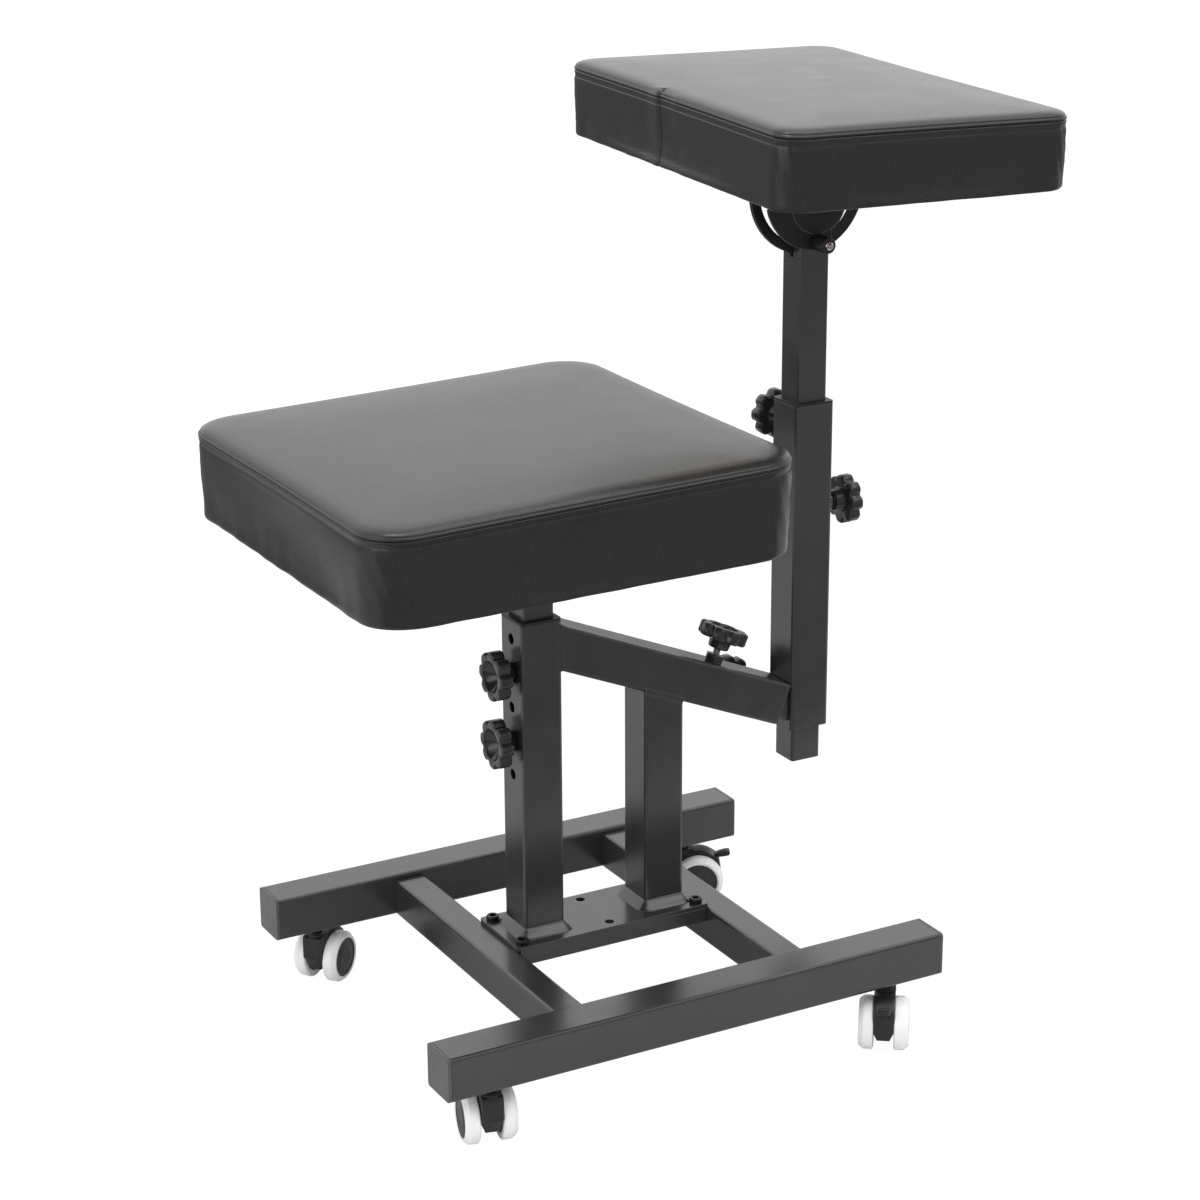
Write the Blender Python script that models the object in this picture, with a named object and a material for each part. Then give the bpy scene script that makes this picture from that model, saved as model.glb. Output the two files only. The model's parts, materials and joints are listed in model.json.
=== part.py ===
"""Rolling stool: a seat and a front rest on telescoping square tubes, on a wheeled H base.

Metres, +Z up. +X is the way the sitter faces, +Y the far side in the photo.
Sizes below are worked out along X from the middle of the base; the root empty
then moves the whole stool so that the origin is under the middle of its box.
"""
import math

import bmesh
import bpy

# Air between two pieces that touch, and air round a turning or sliding piece.
GAP = 0.0003

# Square tubes: the inner tubes slide in bushes inside the outer ones.
TUBE = 0.042
TUBE_WALL = 0.002
TUBE_ROUND = 0.003
BUSH_WALL = 0.0026
BUSH_DEPTH = 0.012
BUSH_RIM = 0.002
INNER_ROUND = 0.0025
WELD = 0.004

# Base: two rails, two cross members, a channel and the post plate.
RAIL_LENGTH = 0.520
RAIL_SPACING = 0.377
RAIL_UNDER = 0.065
CAP_FLANGE = 0.003
CAP_PLUG = 0.012
CROSS_WIDTH = 0.032
CROSS_HEIGHT = 0.037
CROSS_SPACING = 0.234
CHANNEL_WALL = 0.003
CHANNEL_DEPTH = 0.014
PLATE_WIDTH = 0.080
PLATE_THICK = 0.004
PLATE_LAP = 0.003
BOLT = 0.006
BOLT_INSET = 0.0095
BOLT_HEAD_HEIGHT = 0.0055
SPARE_HOLE = 0.009
SPARE_SPACING = 0.058

# Posts and arm.
POST_SPACING = 0.130
SEAT_TUBE_TOP = 0.416
ARM_SLOPE = math.radians(22.7)
ARM_SHOULDER = 0.005
ARM_INSERT = 0.205
ARM_KNOB = 0.082
REST_REACH = 0.293
REST_FOOT = 0.008
REST_TUBE_LENGTH = 0.324
REST_KNOB = 0.104
REST_INNER_DROP = 0.035
SEAT_HOLE = 0.0105
SEAT_HOLE_PITCH = 0.0335
SEAT_HOLE_COUNT = 5
SEAT_INNER_LENGTH = 0.300
MOUTH_KNOB = 0.0115

# Star knobs and their weld nuts.
STUD = 0.008
NUT_WIDTH = 0.018
NUT_HEIGHT = 0.007
STUD_BARE = 0.006
KNOB = 0.048
KNOB_HEAD = 0.013
KNOB_LOBES = 8
KNOB_LOBE_DEPTH = 0.004
KNOB_HUB = 0.022
KNOB_HUB_LENGTH = 0.009
KNOB_CUP = 0.030
KNOB_CUP_DEPTH = 0.008

# Seat and rest pads.
SEAT_LENGTH = 0.415
SEAT_WIDTH = 0.417
SEAT_ROUND = 0.042
SEAT_UNDER = 0.506
SEAT_SEAM = 0.079
SEAT_CROWN = 0.009
SEAT_TUCK = 0.001
SEAT_SETBACK = 0.041
SEAT_PLATE = 0.200
REST_LENGTH = 0.288
REST_WIDTH = 0.455
REST_ROUND = 0.032
REST_UNDER = 0.8125
REST_SEAM = 0.060
REST_CROWN = 0.010
REST_TUCK = 0.006
REST_SKEW = math.radians(-4.8)
REST_PLATE_LENGTH = 0.130
REST_PLATE_WIDTH = 0.120
REST_PLATE_THICK = 0.003
PAD_HEM = 0.016
PAD_DRAW = 0.004
SEAM_GROOVE = 0.0022
BOARD = 0.012

# Tilt head under the rest.
PIVOT_DROP = 0.0235
QUADRANT = 0.062
QUADRANT_THICK = 0.004
SLOT_RADIUS = 0.048
SLOT_HALF_ANGLE = math.radians(78)
PIVOT_BOLT = 0.008
CHEEK_THICK = 0.003
CHEEK_ROUND = 0.031
CHEEK_DROP = 0.011
CHEEK_TOP = 0.020
WING = 0.0556
WING_TOP = math.radians(14)
TUBE_TOP_DROP = 0.025
CLAMP_NUT = 0.015
CLAMP_NUT_LENGTH = 0.020

# Casters.
WHEEL = 0.051
WHEEL_WIDTH = 0.0146
TREAD_WIDTH = 0.007
CAP_DISC = 0.040
AXLE = 0.006
TRAIL = 0.0155
CASTER_WIDTH = 0.020
CASTER_INSET = 0.050
HOOD_OVER = 0.0032
GUARD_HEIGHT = 0.012
GUARD_TAPER = 0.004
STEM = 0.010
SOCKET_DEPTH = 0.018
LEVER_WIDTH = 0.012
LEVER_REACH = 0.0195
LEVER_THICK = 0.005
SWIVEL = {
    "near_rear": math.radians(77),
    "far_rear": math.radians(38),
    "near_front": math.radians(-126),
    "far_front": math.radians(-29),
}

# Sizes that follow from those above.
INNER = TUBE - 2 * (TUBE_WALL + BUSH_WALL + 2 * GAP)
BUSH_BORE = INNER + 2 * GAP
STUD_HOLE = STUD + 2 * GAP
RAIL_MID = RAIL_UNDER + TUBE / 2
CROSS_TOP = RAIL_UNDER + CROSS_HEIGHT
PLATE_TOP = CROSS_TOP + GAP + PLATE_THICK
PLATE_LENGTH = CROSS_SPACING - CROSS_WIDTH + 2 * PLATE_LAP
SEAT_POST = -POST_SPACING / 2
SUPPORT_POST = POST_SPACING / 2
REST_POST = SEAT_POST + REST_REACH
ARM_START = SEAT_POST + TUBE / 2 + GAP
ARM_HEIGHT = SEAT_TUBE_TOP - ARM_SHOULDER - TUBE / 2 / math.cos(ARM_SLOPE)
REST_FACE = REST_POST - TUBE / 2 - GAP
ARM_LENGTH = (REST_FACE - GAP - ARM_START - TUBE / 2 * math.sin(ARM_SLOPE)) / math.cos(ARM_SLOPE)
ARM_END_HEIGHT = ARM_HEIGHT - (REST_FACE - ARM_START) * math.tan(ARM_SLOPE)
REST_TUBE_FOOT = ARM_END_HEIGHT - INNER / 2 / math.cos(ARM_SLOPE) - REST_FOOT
REST_TUBE_TOP = REST_TUBE_FOOT + REST_TUBE_LENGTH
SEAT_PAD = SEAT_POST - SEAT_SETBACK
PIVOT = REST_UNDER - GAP - REST_PLATE_THICK - PIVOT_DROP
BOSS_ROUND = min(CHEEK_ROUND - 2 * GAP, SLOT_RADIUS - CHEEK_DROP - CLAMP_NUT / 2 - 2 * GAP)
WHEEL_SIDE = CASTER_WIDTH / 2 + GAP
HOOD = WHEEL / 2 + HOOD_OVER
CASTER_TOP = WHEEL / 2 + HOOD
CASTER_X = RAIL_LENGTH / 2 - CASTER_INSET

# Base colour, roughness and metallic value of each finish in the photo.
FINISHES = {
    "frame_black": ((0.030, 0.030, 0.032), 0.42, 0.0),
    "plastic_black": ((0.015, 0.015, 0.016), 0.50, 0.0),
    "knob_black": ((0.008, 0.008, 0.009), 0.18, 0.0),
    "leather_black": ((0.022, 0.022, 0.023), 0.45, 0.0),
    "plywood": ((0.420, 0.290, 0.160), 0.70, 0.0),
    "steel_bright": ((0.620, 0.620, 0.630), 0.28, 1.0),
    "bolt_black": ((0.020, 0.020, 0.021), 0.35, 0.6),
    "tread_light": ((0.700, 0.700, 0.690), 0.50, 0.0),
}


def clear_scene():
    for item in list(bpy.data.objects):
        bpy.data.objects.remove(item, do_unlink=True)


def finish_material(finish):
    found = bpy.data.materials.get(finish)
    if found:
        return found
    colour, roughness, metallic = FINISHES[finish]
    made = bpy.data.materials.new(finish)
    made.use_nodes = True
    shader = made.node_tree.nodes["Principled BSDF"]
    shader.inputs["Base Color"].default_value = (*colour, 1.0)
    shader.inputs["Roughness"].default_value = roughness
    shader.inputs["Metallic"].default_value = metallic
    made.diffuse_color = (*colour, 1.0)
    return made


def empty(name, parent, location, rotation=(0, 0, 0)):
    made = bpy.data.objects.new(name, None)
    bpy.context.scene.collection.objects.link(made)
    made.parent = parent
    made.location = location
    made.rotation_euler = rotation
    return made


def piece(name, mesh, finish, parent, location=(0, 0, 0), rotation=(0, 0, 0)):
    """One named object of the stool, in its own finish."""
    made = bpy.data.objects.new(name, mesh)
    bpy.context.scene.collection.objects.link(made)
    made.parent = parent
    made.location = location
    made.rotation_euler = rotation
    mesh.materials.append(finish_material(finish))
    return made


def shape(target, mesh, operation):
    """Join another solid to a piece, or cut it out of the piece."""
    tool = bpy.data.objects.new(target.name + "_" + operation.lower(), mesh)
    bpy.context.scene.collection.objects.link(tool)
    tool.parent = target
    tool.hide_render = True
    tool.display_type = "WIRE"
    change = target.modifiers.new(operation.lower(), "BOOLEAN")
    change.operation = operation
    change.solver = "EXACT"
    change.object = tool


def cut(target, mesh):
    shape(target, mesh, "DIFFERENCE")


def join(target, mesh):
    shape(target, mesh, "UNION")


def skin(rings, closed=False):
    """Closed mesh over rings of equal length, capped at both ends unless it closes on itself."""
    shell = bmesh.new()
    loops = [[shell.verts.new(point) for point in ring] for ring in rings]
    pairs = list(zip(loops, loops[1:]))
    if closed:
        pairs.append((loops[-1], loops[0]))
    for first, second in pairs:
        for index in range(len(first)):
            after = (index + 1) % len(first)
            shell.faces.new((first[index], first[after], second[after], second[index]))
    if not closed:
        shell.faces.new(list(reversed(loops[0])))
        shell.faces.new(loops[-1])
    bmesh.ops.recalc_face_normals(shell, faces=shell.faces)
    mesh = bpy.data.meshes.new("skin")
    shell.to_mesh(mesh)
    shell.free()
    return mesh


def flat_xy(u, v, w):
    return (u, v, w)


def flat_xz(u, v, w):
    return (u, w, v)


def flat_yz(u, v, w):
    return (w, u, v)


def prism(outline, low, high, place=flat_xy):
    """Outline drawn in a plane and pushed through it from low to high."""
    return skin([[place(u, v, w) for u, v in outline] for w in (low, high)])


def round_bar(radius, low, high, sides=20, place=flat_xy, centre=(0, 0)):
    return prism(arc(centre, radius, 0, math.tau, sides)[:-1], low, high, place)


def box(low, high):
    outline = [(low[0], low[1]), (high[0], low[1]), (high[0], high[1]), (low[0], high[1])]
    return prism(outline, low[2], high[2])


def turned(profile, sides):
    """Solid of revolution about Z from radius and height pairs."""
    angles = [math.tau * index / sides for index in range(sides)]
    return skin([[(r * math.cos(a), r * math.sin(a), z) for a in angles] for r, z in profile])


def arc(centre, radius, start, end, steps):
    points = []
    for index in range(steps + 1):
        angle = start + (end - start) * index / steps
        points.append((centre[0] + radius * math.cos(angle), centre[1] + radius * math.sin(angle)))
    return points


def rounded(width, height, radius, steps=2):
    """Rounded rectangle about the origin."""
    points = []
    for quarter, (side, up) in enumerate(((1, 1), (-1, 1), (-1, -1), (1, -1))):
        centre = (side * (width / 2 - radius), up * (height / 2 - radius))
        points += arc(centre, radius, quarter * math.pi / 2, (quarter + 1) * math.pi / 2, steps)
    return points


def lift(outline, height):
    """Outline raised to a height, which may be a number or depend on the point."""
    if callable(height):
        return [(u, v, height(u, v)) for u, v in outline]
    return [(u, v, height) for u, v in outline]


def square_tube(width, height, wall, corner, start, end, weld=0.0):
    """Hollow tube along Z, with a weld bead round its foot where one is asked for."""
    outer = rounded(width, height, corner)
    inner = rounded(width - 2 * wall, height - 2 * wall, max(corner - wall, corner / 4))
    rings = [lift(outer, end), lift(inner, end), lift(inner, start)]
    if weld:
        rings += [lift(rounded(width + 2 * weld, height + 2 * weld, corner + weld), start)]
        rings += [lift(outer, start + weld)]
    else:
        rings += [lift(outer, start)]
    return skin(rings, closed=True)


def hexagon(across, turn=0.0):
    radius = across / math.sqrt(3)
    return [(radius * math.cos(turn + math.tau * k / 6), radius * math.sin(turn + math.tau * k / 6))
            for k in range(6)]


def weld_nut(target, centre, place, face, into):
    """Nut on a tube's face with a clear hole through it and through the tube's wall."""
    outline = [(u + centre[0], v + centre[1]) for u, v in hexagon(NUT_WIDTH * 0.9, math.pi / 6)]
    outward = 1 if face > into else -1
    join(target, prism(outline, face - outward * TUBE_WALL / 2, face + outward * NUT_HEIGHT, place))
    hole = round_bar(STUD_HOLE / 2, into, face + outward * 2 * NUT_HEIGHT, 20, place, centre)
    cut(target, hole)


def bush(rim):
    """Guide bush in a tube's end: its rim, where it has one, lies on the tube's end at Z 0."""
    bore = rounded(BUSH_BORE, BUSH_BORE, INNER_ROUND + GAP)
    inside = TUBE - 2 * TUBE_WALL - 2 * GAP
    sleeve = rounded(inside, inside, max(TUBE_ROUND - TUBE_WALL, TUBE_ROUND / 4))
    rings = [lift(bore, rim), lift(bore, -BUSH_DEPTH), lift(sleeve, -BUSH_DEPTH), lift(sleeve, 0)]
    if rim:
        brim = rounded(TUBE, TUBE, TUBE_ROUND)
        rings += [lift(brim, 0), lift(brim, rim)]
    return skin(rings, closed=True)


def build_base(root):
    side = RAIL_SPACING / 2
    tube_half = RAIL_LENGTH / 2 - CAP_FLANGE - GAP
    inside = TUBE - 2 * TUBE_WALL - 2 * GAP
    plug = rounded(inside, inside, max(TUBE_ROUND - TUBE_WALL, TUBE_ROUND / 4))
    flange = rounded(TUBE, TUBE, TUBE_ROUND)
    for label, y in (("near", -side), ("far", side)):
        mesh = square_tube(TUBE, TUBE, TUBE_WALL, TUBE_ROUND, -tube_half, tube_half)
        rail = piece("base_rail_" + label, mesh, "frame_black", root, (0, y, RAIL_MID), (0, math.pi / 2, 0))
        for x in (-CASTER_X, CASTER_X):
            cut(rail, round_bar(STEM / 2 + GAP, TUBE / 2 - 2 * TUBE_WALL, TUBE, 20, flat_yz, (0, x)))
        for end, way in (("rear", -1), ("front", 1)):
            rings = [lift(plug, -CAP_PLUG), lift(plug, 0), lift(flange, 0), lift(flange, CAP_FLANGE)]
            piece("rail_cap_" + label + "_" + end, skin(rings), "plastic_black", root,
                  (way * (tube_half + GAP), y, RAIL_MID), (0, way * math.pi / 2, 0))
    cross_half = side - TUBE / 2 - GAP
    for label, x in (("rear", -CROSS_SPACING / 2), ("front", CROSS_SPACING / 2)):
        mesh = square_tube(CROSS_WIDTH, CROSS_HEIGHT, TUBE_WALL, TUBE_ROUND, -cross_half, cross_half)
        piece("cross_member_" + label, mesh, "frame_black", root,
              (x, 0, RAIL_UNDER + CROSS_HEIGHT / 2), (-math.pi / 2, 0, 0))
    build_channel(root)


def bolt_places():
    x = PLATE_LENGTH / 2 - BOLT_INSET
    y = PLATE_WIDTH / 2 - BOLT_INSET
    return [("near_rear", -x, -y), ("near_front", x, -y), ("far_rear", -x, y), ("far_front", x, y)]


def build_channel(root):
    """Channel between the cross members, the post plate on it, and the plate's bolts."""
    half = PLATE_WIDTH / 2
    reach = CROSS_SPACING / 2 - CROSS_WIDTH / 2 - GAP
    web = half - CHANNEL_WALL
    outline = [(-half, 0), (-half, -CHANNEL_DEPTH), (-web, -CHANNEL_DEPTH), (-web, -CHANNEL_WALL),
               (web, -CHANNEL_WALL), (web, -CHANNEL_DEPTH), (half, -CHANNEL_DEPTH), (half, 0)]
    channel = piece("carrier_channel", prism(outline, -reach, reach, flat_yz), "frame_black", root,
                    (0, 0, CROSS_TOP))
    mesh = prism(rounded(PLATE_LENGTH, PLATE_WIDTH, TUBE_ROUND), 0, PLATE_THICK)
    plate = piece("post_plate", mesh, "frame_black", root, (0, 0, PLATE_TOP - PLATE_THICK))
    spares = [(0, -SPARE_SPACING / 2), (0, SPARE_SPACING / 2)]
    head = BOLT + BOLT_HEAD_HEIGHT + 2 * GAP
    below = GAP + PLATE_THICK + CHANNEL_WALL
    for label, x, y in bolt_places():
        cut(plate, round_bar(BOLT / 2 + GAP, -0.01, 0.02, 16, flat_xy, (x, y)))
        cut(channel, round_bar(BOLT / 2 + GAP, -0.01, 0.02, 16, flat_xy, (x, y)))
        profile = [(BOLT / 2, -below - BOLT), (BOLT / 2, GAP), (head / 2, GAP),
                   (head / 2, GAP + BOLT_HEAD_HEIGHT * 0.85), (head * 0.45, GAP + BOLT_HEAD_HEIGHT)]
        bolt = piece("plate_bolt_" + label, turned(profile, 16), "bolt_black", root, (x, y, PLATE_TOP))
        cut(bolt, prism(hexagon(BOLT), GAP + BOLT_HEAD_HEIGHT * 0.4, BOLT_HEAD_HEIGHT * 2))
    for place in spares:
        cut(plate, round_bar(SPARE_HOLE / 2, -0.01, 0.02, 20, flat_xy, place))


def build_posts(root):
    """Seat tube, support post and the outer arm tube they carry."""
    foot = PLATE_TOP + GAP
    mesh = square_tube(TUBE, TUBE, TUBE_WALL, TUBE_ROUND, foot, SEAT_TUBE_TOP, WELD)
    tube = piece("seat_outer_tube", mesh, "frame_black", root, (SEAT_POST, 0, 0))
    for height in seat_holes():
        cut(tube, round_bar(SEAT_HOLE / 2, -TUBE, -TUBE / 2 + 2 * TUBE_WALL, 20, flat_yz, (0, height)))
    piece("seat_bush", bush(BUSH_RIM), "plastic_black", root, (SEAT_POST, 0, SEAT_TUBE_TOP + GAP))

    def arm_underside(x, _y):
        run = SUPPORT_POST + x - ARM_START
        return ARM_HEIGHT - run * math.tan(ARM_SLOPE) - (TUBE / 2 + GAP) / math.cos(ARM_SLOPE)

    mesh = square_tube(TUBE, TUBE, TUBE_WALL, TUBE_ROUND, foot, arm_underside, WELD)
    piece("support_post", mesh, "frame_black", root, (SUPPORT_POST, 0, 0))

    axis = empty("arm_axis", root, (ARM_START, 0, ARM_HEIGHT), (0, math.pi / 2 + ARM_SLOPE, 0))
    lean = math.tan(ARM_SLOPE)
    mesh = square_tube(TUBE, TUBE, TUBE_WALL, TUBE_ROUND, lambda u, v: u * lean, ARM_LENGTH)
    arm = piece("arm_outer_tube", mesh, "frame_black", axis)
    weld_nut(arm, (0, ARM_LENGTH - ARM_KNOB), flat_yz, -TUBE / 2, -TUBE / 4)
    weld_nut(arm, (0, ARM_LENGTH - BUSH_DEPTH - MOUTH_KNOB), flat_xz, TUBE / 2, TUBE / 4)
    piece("arm_bush", bush(0.0), "plastic_black", axis, (0, 0, ARM_LENGTH - GAP))
    return axis


def seat_holes():
    top = SEAT_TUBE_TOP - BUSH_DEPTH - SEAT_HOLE / 2
    return [top - SEAT_HOLE_PITCH * index for index in range(SEAT_HOLE_COUNT)]


def build_seat(root):
    under = SEAT_UNDER - GAP
    top = under - PLATE_THICK - GAP
    mesh = square_tube(INNER, INNER, TUBE_WALL, INNER_ROUND, top - SEAT_INNER_LENGTH, top)
    piece("seat_inner_tube", mesh, "frame_black", root, (SEAT_POST, 0, 0))
    mesh = prism(rounded(SEAT_PLATE, SEAT_PLATE, TUBE_ROUND), 0, PLATE_THICK)
    piece("seat_plate", mesh, "frame_black", root, (SEAT_POST, 0, under - PLATE_THICK))
    sizes = (SEAT_LENGTH, SEAT_WIDTH, SEAT_ROUND, SEAT_SEAM, SEAT_CROWN, SEAT_TUCK)
    build_pad("seat", root, (SEAT_PAD, 0, SEAT_UNDER), sizes, 0)


def pad_outline(length, width, corner, inset, draw):
    """Rounded outline whose sides draw in between the corners."""
    half = (length / 2 - inset, width / 2 - inset)
    radius = min(max(corner - inset * 0.5, corner * 0.4), half[0] * 0.7, half[1] * 0.7)
    points = []
    normals = ((0, 1), (-1, 0), (0, -1), (1, 0))
    spots = ((1, 1), (-1, 1), (-1, -1), (1, -1))
    arcs = []
    for quarter, (right, up) in enumerate(spots):
        centre = (right * (half[0] - radius), up * (half[1] - radius))
        arcs.append(arc(centre, radius, quarter * math.pi / 2, (quarter + 1) * math.pi / 2, 4))
    for quarter, normal in enumerate(normals):
        points += arcs[quarter]
        first = arcs[quarter][-1]
        last = arcs[(quarter + 1) % 4][0]
        for step in (0.2, 0.4, 0.6, 0.8):
            inward = draw * math.sin(math.pi * step)
            points.append((first[0] + (last[0] - first[0]) * step - normal[0] * inward,
                           first[1] + (last[1] - first[1]) * step - normal[1] * inward))
    return points


def skewed(points, angle):
    """The outline turned about its own centre."""
    cosine = math.cos(angle)
    sine = math.sin(angle)
    return [(x * cosine - y * sine, x * sine + y * cosine) for x, y in points]


def build_pad(name, parent, place, sizes, skew):
    """Board and cushion, screwed on at a skew: the cover comes round the board, seamed at its top edge."""
    length, width, corner, seam, crown, tuck = sizes
    hem = tuck + PAD_HEM
    pocket = skewed(pad_outline(length, width, corner, hem, 0), skew)
    board = skewed(pad_outline(length, width, corner, hem + GAP, 0), skew)
    piece(name + "_board", prism(board, 0, BOARD), "plywood", parent, place)
    level = [
        (BOARD + GAP, hem, 0), (0, hem, 0), (0, tuck + 0.010, 0), (0.004, tuck + 0.003, 0.2),
        (0.013, tuck, 0.6), (seam * 0.5, tuck * 0.5, 1.0), (seam - 0.010, 0.0012, 0.6),
        (seam - SEAM_GROOVE, 0, 0.4), (seam, SEAM_GROOVE, 0.4), (seam + SEAM_GROOVE, 0.0004, 0.4),
        (seam + crown * 0.45, 0.006, 0.3), (seam + crown * 0.66, 0.018, 0.2),
        (seam + crown * 0.84, 0.046, 0), (seam + crown * 0.96, 0.088, 0), (seam + crown, 0.122, 0),
    ]
    rings = []
    for height, inset, draw in level:
        outline = skewed(pad_outline(length, width, corner, inset, PAD_DRAW * draw), skew)
        rings.append(lift(pocket if inset == hem else outline, height))
    piece(name + "_cushion", skin(rings), "leather_black", parent, place)


def build_rest_post(root, axis):
    """Inner arm tube and the rest's outer tube, which slide out together."""
    lean = math.tan(ARM_SLOPE)
    reach = (REST_FACE - GAP - ARM_START) / math.cos(ARM_SLOPE)
    mesh = square_tube(INNER, INNER, TUBE_WALL, INNER_ROUND, ARM_LENGTH - ARM_INSERT,
                       lambda u, v: reach + u * lean)
    piece("arm_inner_tube", mesh, "frame_black", axis)
    mesh = square_tube(TUBE, TUBE, TUBE_WALL, TUBE_ROUND, REST_TUBE_FOOT, REST_TUBE_TOP)
    tube = piece("rest_outer_tube", mesh, "frame_black", root, (REST_POST, 0, 0))
    weld_nut(tube, (0, REST_TUBE_TOP - REST_KNOB), flat_yz, TUBE / 2, TUBE / 4)
    weld_nut(tube, (0, REST_TUBE_TOP - BUSH_DEPTH - MOUTH_KNOB), flat_xz, TUBE / 2, TUBE / 4)
    piece("rest_bush", bush(BUSH_RIM), "plastic_black", root, (REST_POST, 0, REST_TUBE_TOP + GAP))


def build_rest_slide(root):
    """Rest inner tube with its slit top, the tilt head's cheeks and its two bolts."""
    top = PIVOT - TUBE_TOP_DROP
    foot = REST_TUBE_FOOT - REST_INNER_DROP
    mesh = square_tube(INNER, INNER, TUBE_WALL, INNER_ROUND, foot, top)
    tube = piece("rest_inner_tube", mesh, "frame_black", root, (REST_POST, 0, 0))
    slit = QUADRANT_THICK / 2 + 3 * GAP
    cut(tube, box((-INNER, -slit, PIVOT - QUADRANT - 5 * GAP), (INNER, slit, top + INNER)))
    bolt_hole = PIVOT_BOLT / 2 + GAP
    lock = (0, -SLOT_RADIUS)
    cut(tube, round_bar(bolt_hole, -INNER, INNER, 20, flat_xz, (0, PIVOT - SLOT_RADIUS)))
    head = empty("tilt_head", root, (REST_POST, 0, PIVOT))
    inside = INNER / 2 + GAP
    outside = inside + CHEEK_THICK
    for label, way in (("near", -1), ("far", 1)):
        outline = wing_outline() if label == "near" else cheek_outline()
        low, high = sorted((way * inside, way * outside))
        cheek = piece("tilt_cheek_" + label, prism(outline, low, high, flat_xz), "frame_black", head)
        if label == "near":
            boss = arc((0, -CHEEK_DROP), BOSS_ROUND, math.pi, math.tau, 20)
            boss += arc((0, 0), CHEEK_TOP - 2 * GAP, math.radians(40), math.radians(140), 6)
            join(cheek, prism(boss, low - CHEEK_THICK / 2, low + CHEEK_THICK / 2, flat_xz))
        cut(cheek, round_bar(bolt_hole, -2 * INNER, 2 * INNER, 20, flat_xz))
        cut(cheek, round_bar(bolt_hole, -2 * INNER, 2 * INNER, 20, flat_xz, lock))
    build_tilt_bolts(head, inside, outside)
    return head


def cheek_outline():
    """Round cheek on the pivot with a foot as wide as the tube."""
    half = INNER / 2
    deep = math.sqrt(WING ** 2 - half ** 2)
    turn = math.acos(half / CHEEK_ROUND)
    points = [(-half, -deep), (half, -deep)]
    points += arc((0, -CHEEK_DROP), CHEEK_ROUND, -turn, 0, 6)
    points += arc((0, 0), CHEEK_TOP, math.radians(40), math.radians(140), 6)
    points += arc((0, -CHEEK_DROP), CHEEK_ROUND, math.pi, math.pi + turn, 6)
    return points


def wing_outline():
    """The near cheek, with a wing on the sitter's side that follows the slotted quadrant."""
    half = INNER / 2
    turn = math.acos(half / CHEEK_ROUND)
    points = arc((0, 0), WING, math.pi + WING_TOP, 1.5 * math.pi + math.asin(half / WING), 14)
    points += arc((0, -CHEEK_DROP), CHEEK_ROUND, -turn, 0, 6)
    points += arc((0, 0), CHEEK_TOP, math.radians(40), math.radians(140), 6)
    return points


def build_tilt_bolts(head, inside, outside):
    """Pivot bolt with its spacers, and the lock bolt that carries the clamp nut."""
    shank = PIVOT_BOLT / 2
    boss = outside + CHEEK_THICK / 2 + GAP
    spacer = QUADRANT_THICK / 2 + GAP
    near = inside - 2 * GAP
    profile = [(shank * 1.7, -boss - shank * 1.3), (shank * 1.7, -boss), (shank, -boss), (shank, -near),
               (shank * 1.8, -near), (shank * 1.8, -spacer), (shank, -spacer), (shank, spacer),
               (shank * 1.8, spacer), (shank * 1.8, near), (shank, near), (shank, outside + GAP),
               (shank * 1.7, outside + GAP), (shank * 1.7, outside + shank * 1.6)]
    piece("tilt_pivot_bolt", turned(profile, 16), "bolt_black", head, (0, 0, 0), (-math.pi / 2, 0, 0))
    end = outside + CLAMP_NUT_LENGTH + shank
    profile = [(shank * 0.75, -end), (shank, -end + shank * 0.25), (shank, outside + GAP),
               (shank * 1.6, outside + GAP), (shank * 1.6, outside + shank * 1.5)]
    piece("tilt_lock_bolt", turned(profile, 20), "steel_bright", head, (0, 0, -SLOT_RADIUS),
          (-math.pi / 2, 0, 0))
    bore = shank + GAP
    rim = CLAMP_NUT / 2
    start = outside + GAP
    stop = start + CLAMP_NUT_LENGTH
    rings = []
    for radius, height in ((bore, start), (rim, start), (rim, stop - 0.001), (rim - 0.001, stop), (bore, stop)):
        rings.append(lift(arc((0, 0), radius, 0, math.tau, 20)[:-1], height))
    piece("tilt_clamp_nut", skin(rings, closed=True), "plastic_black", head, (0, 0, -SLOT_RADIUS),
          (math.pi / 2, 0, 0))


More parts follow.
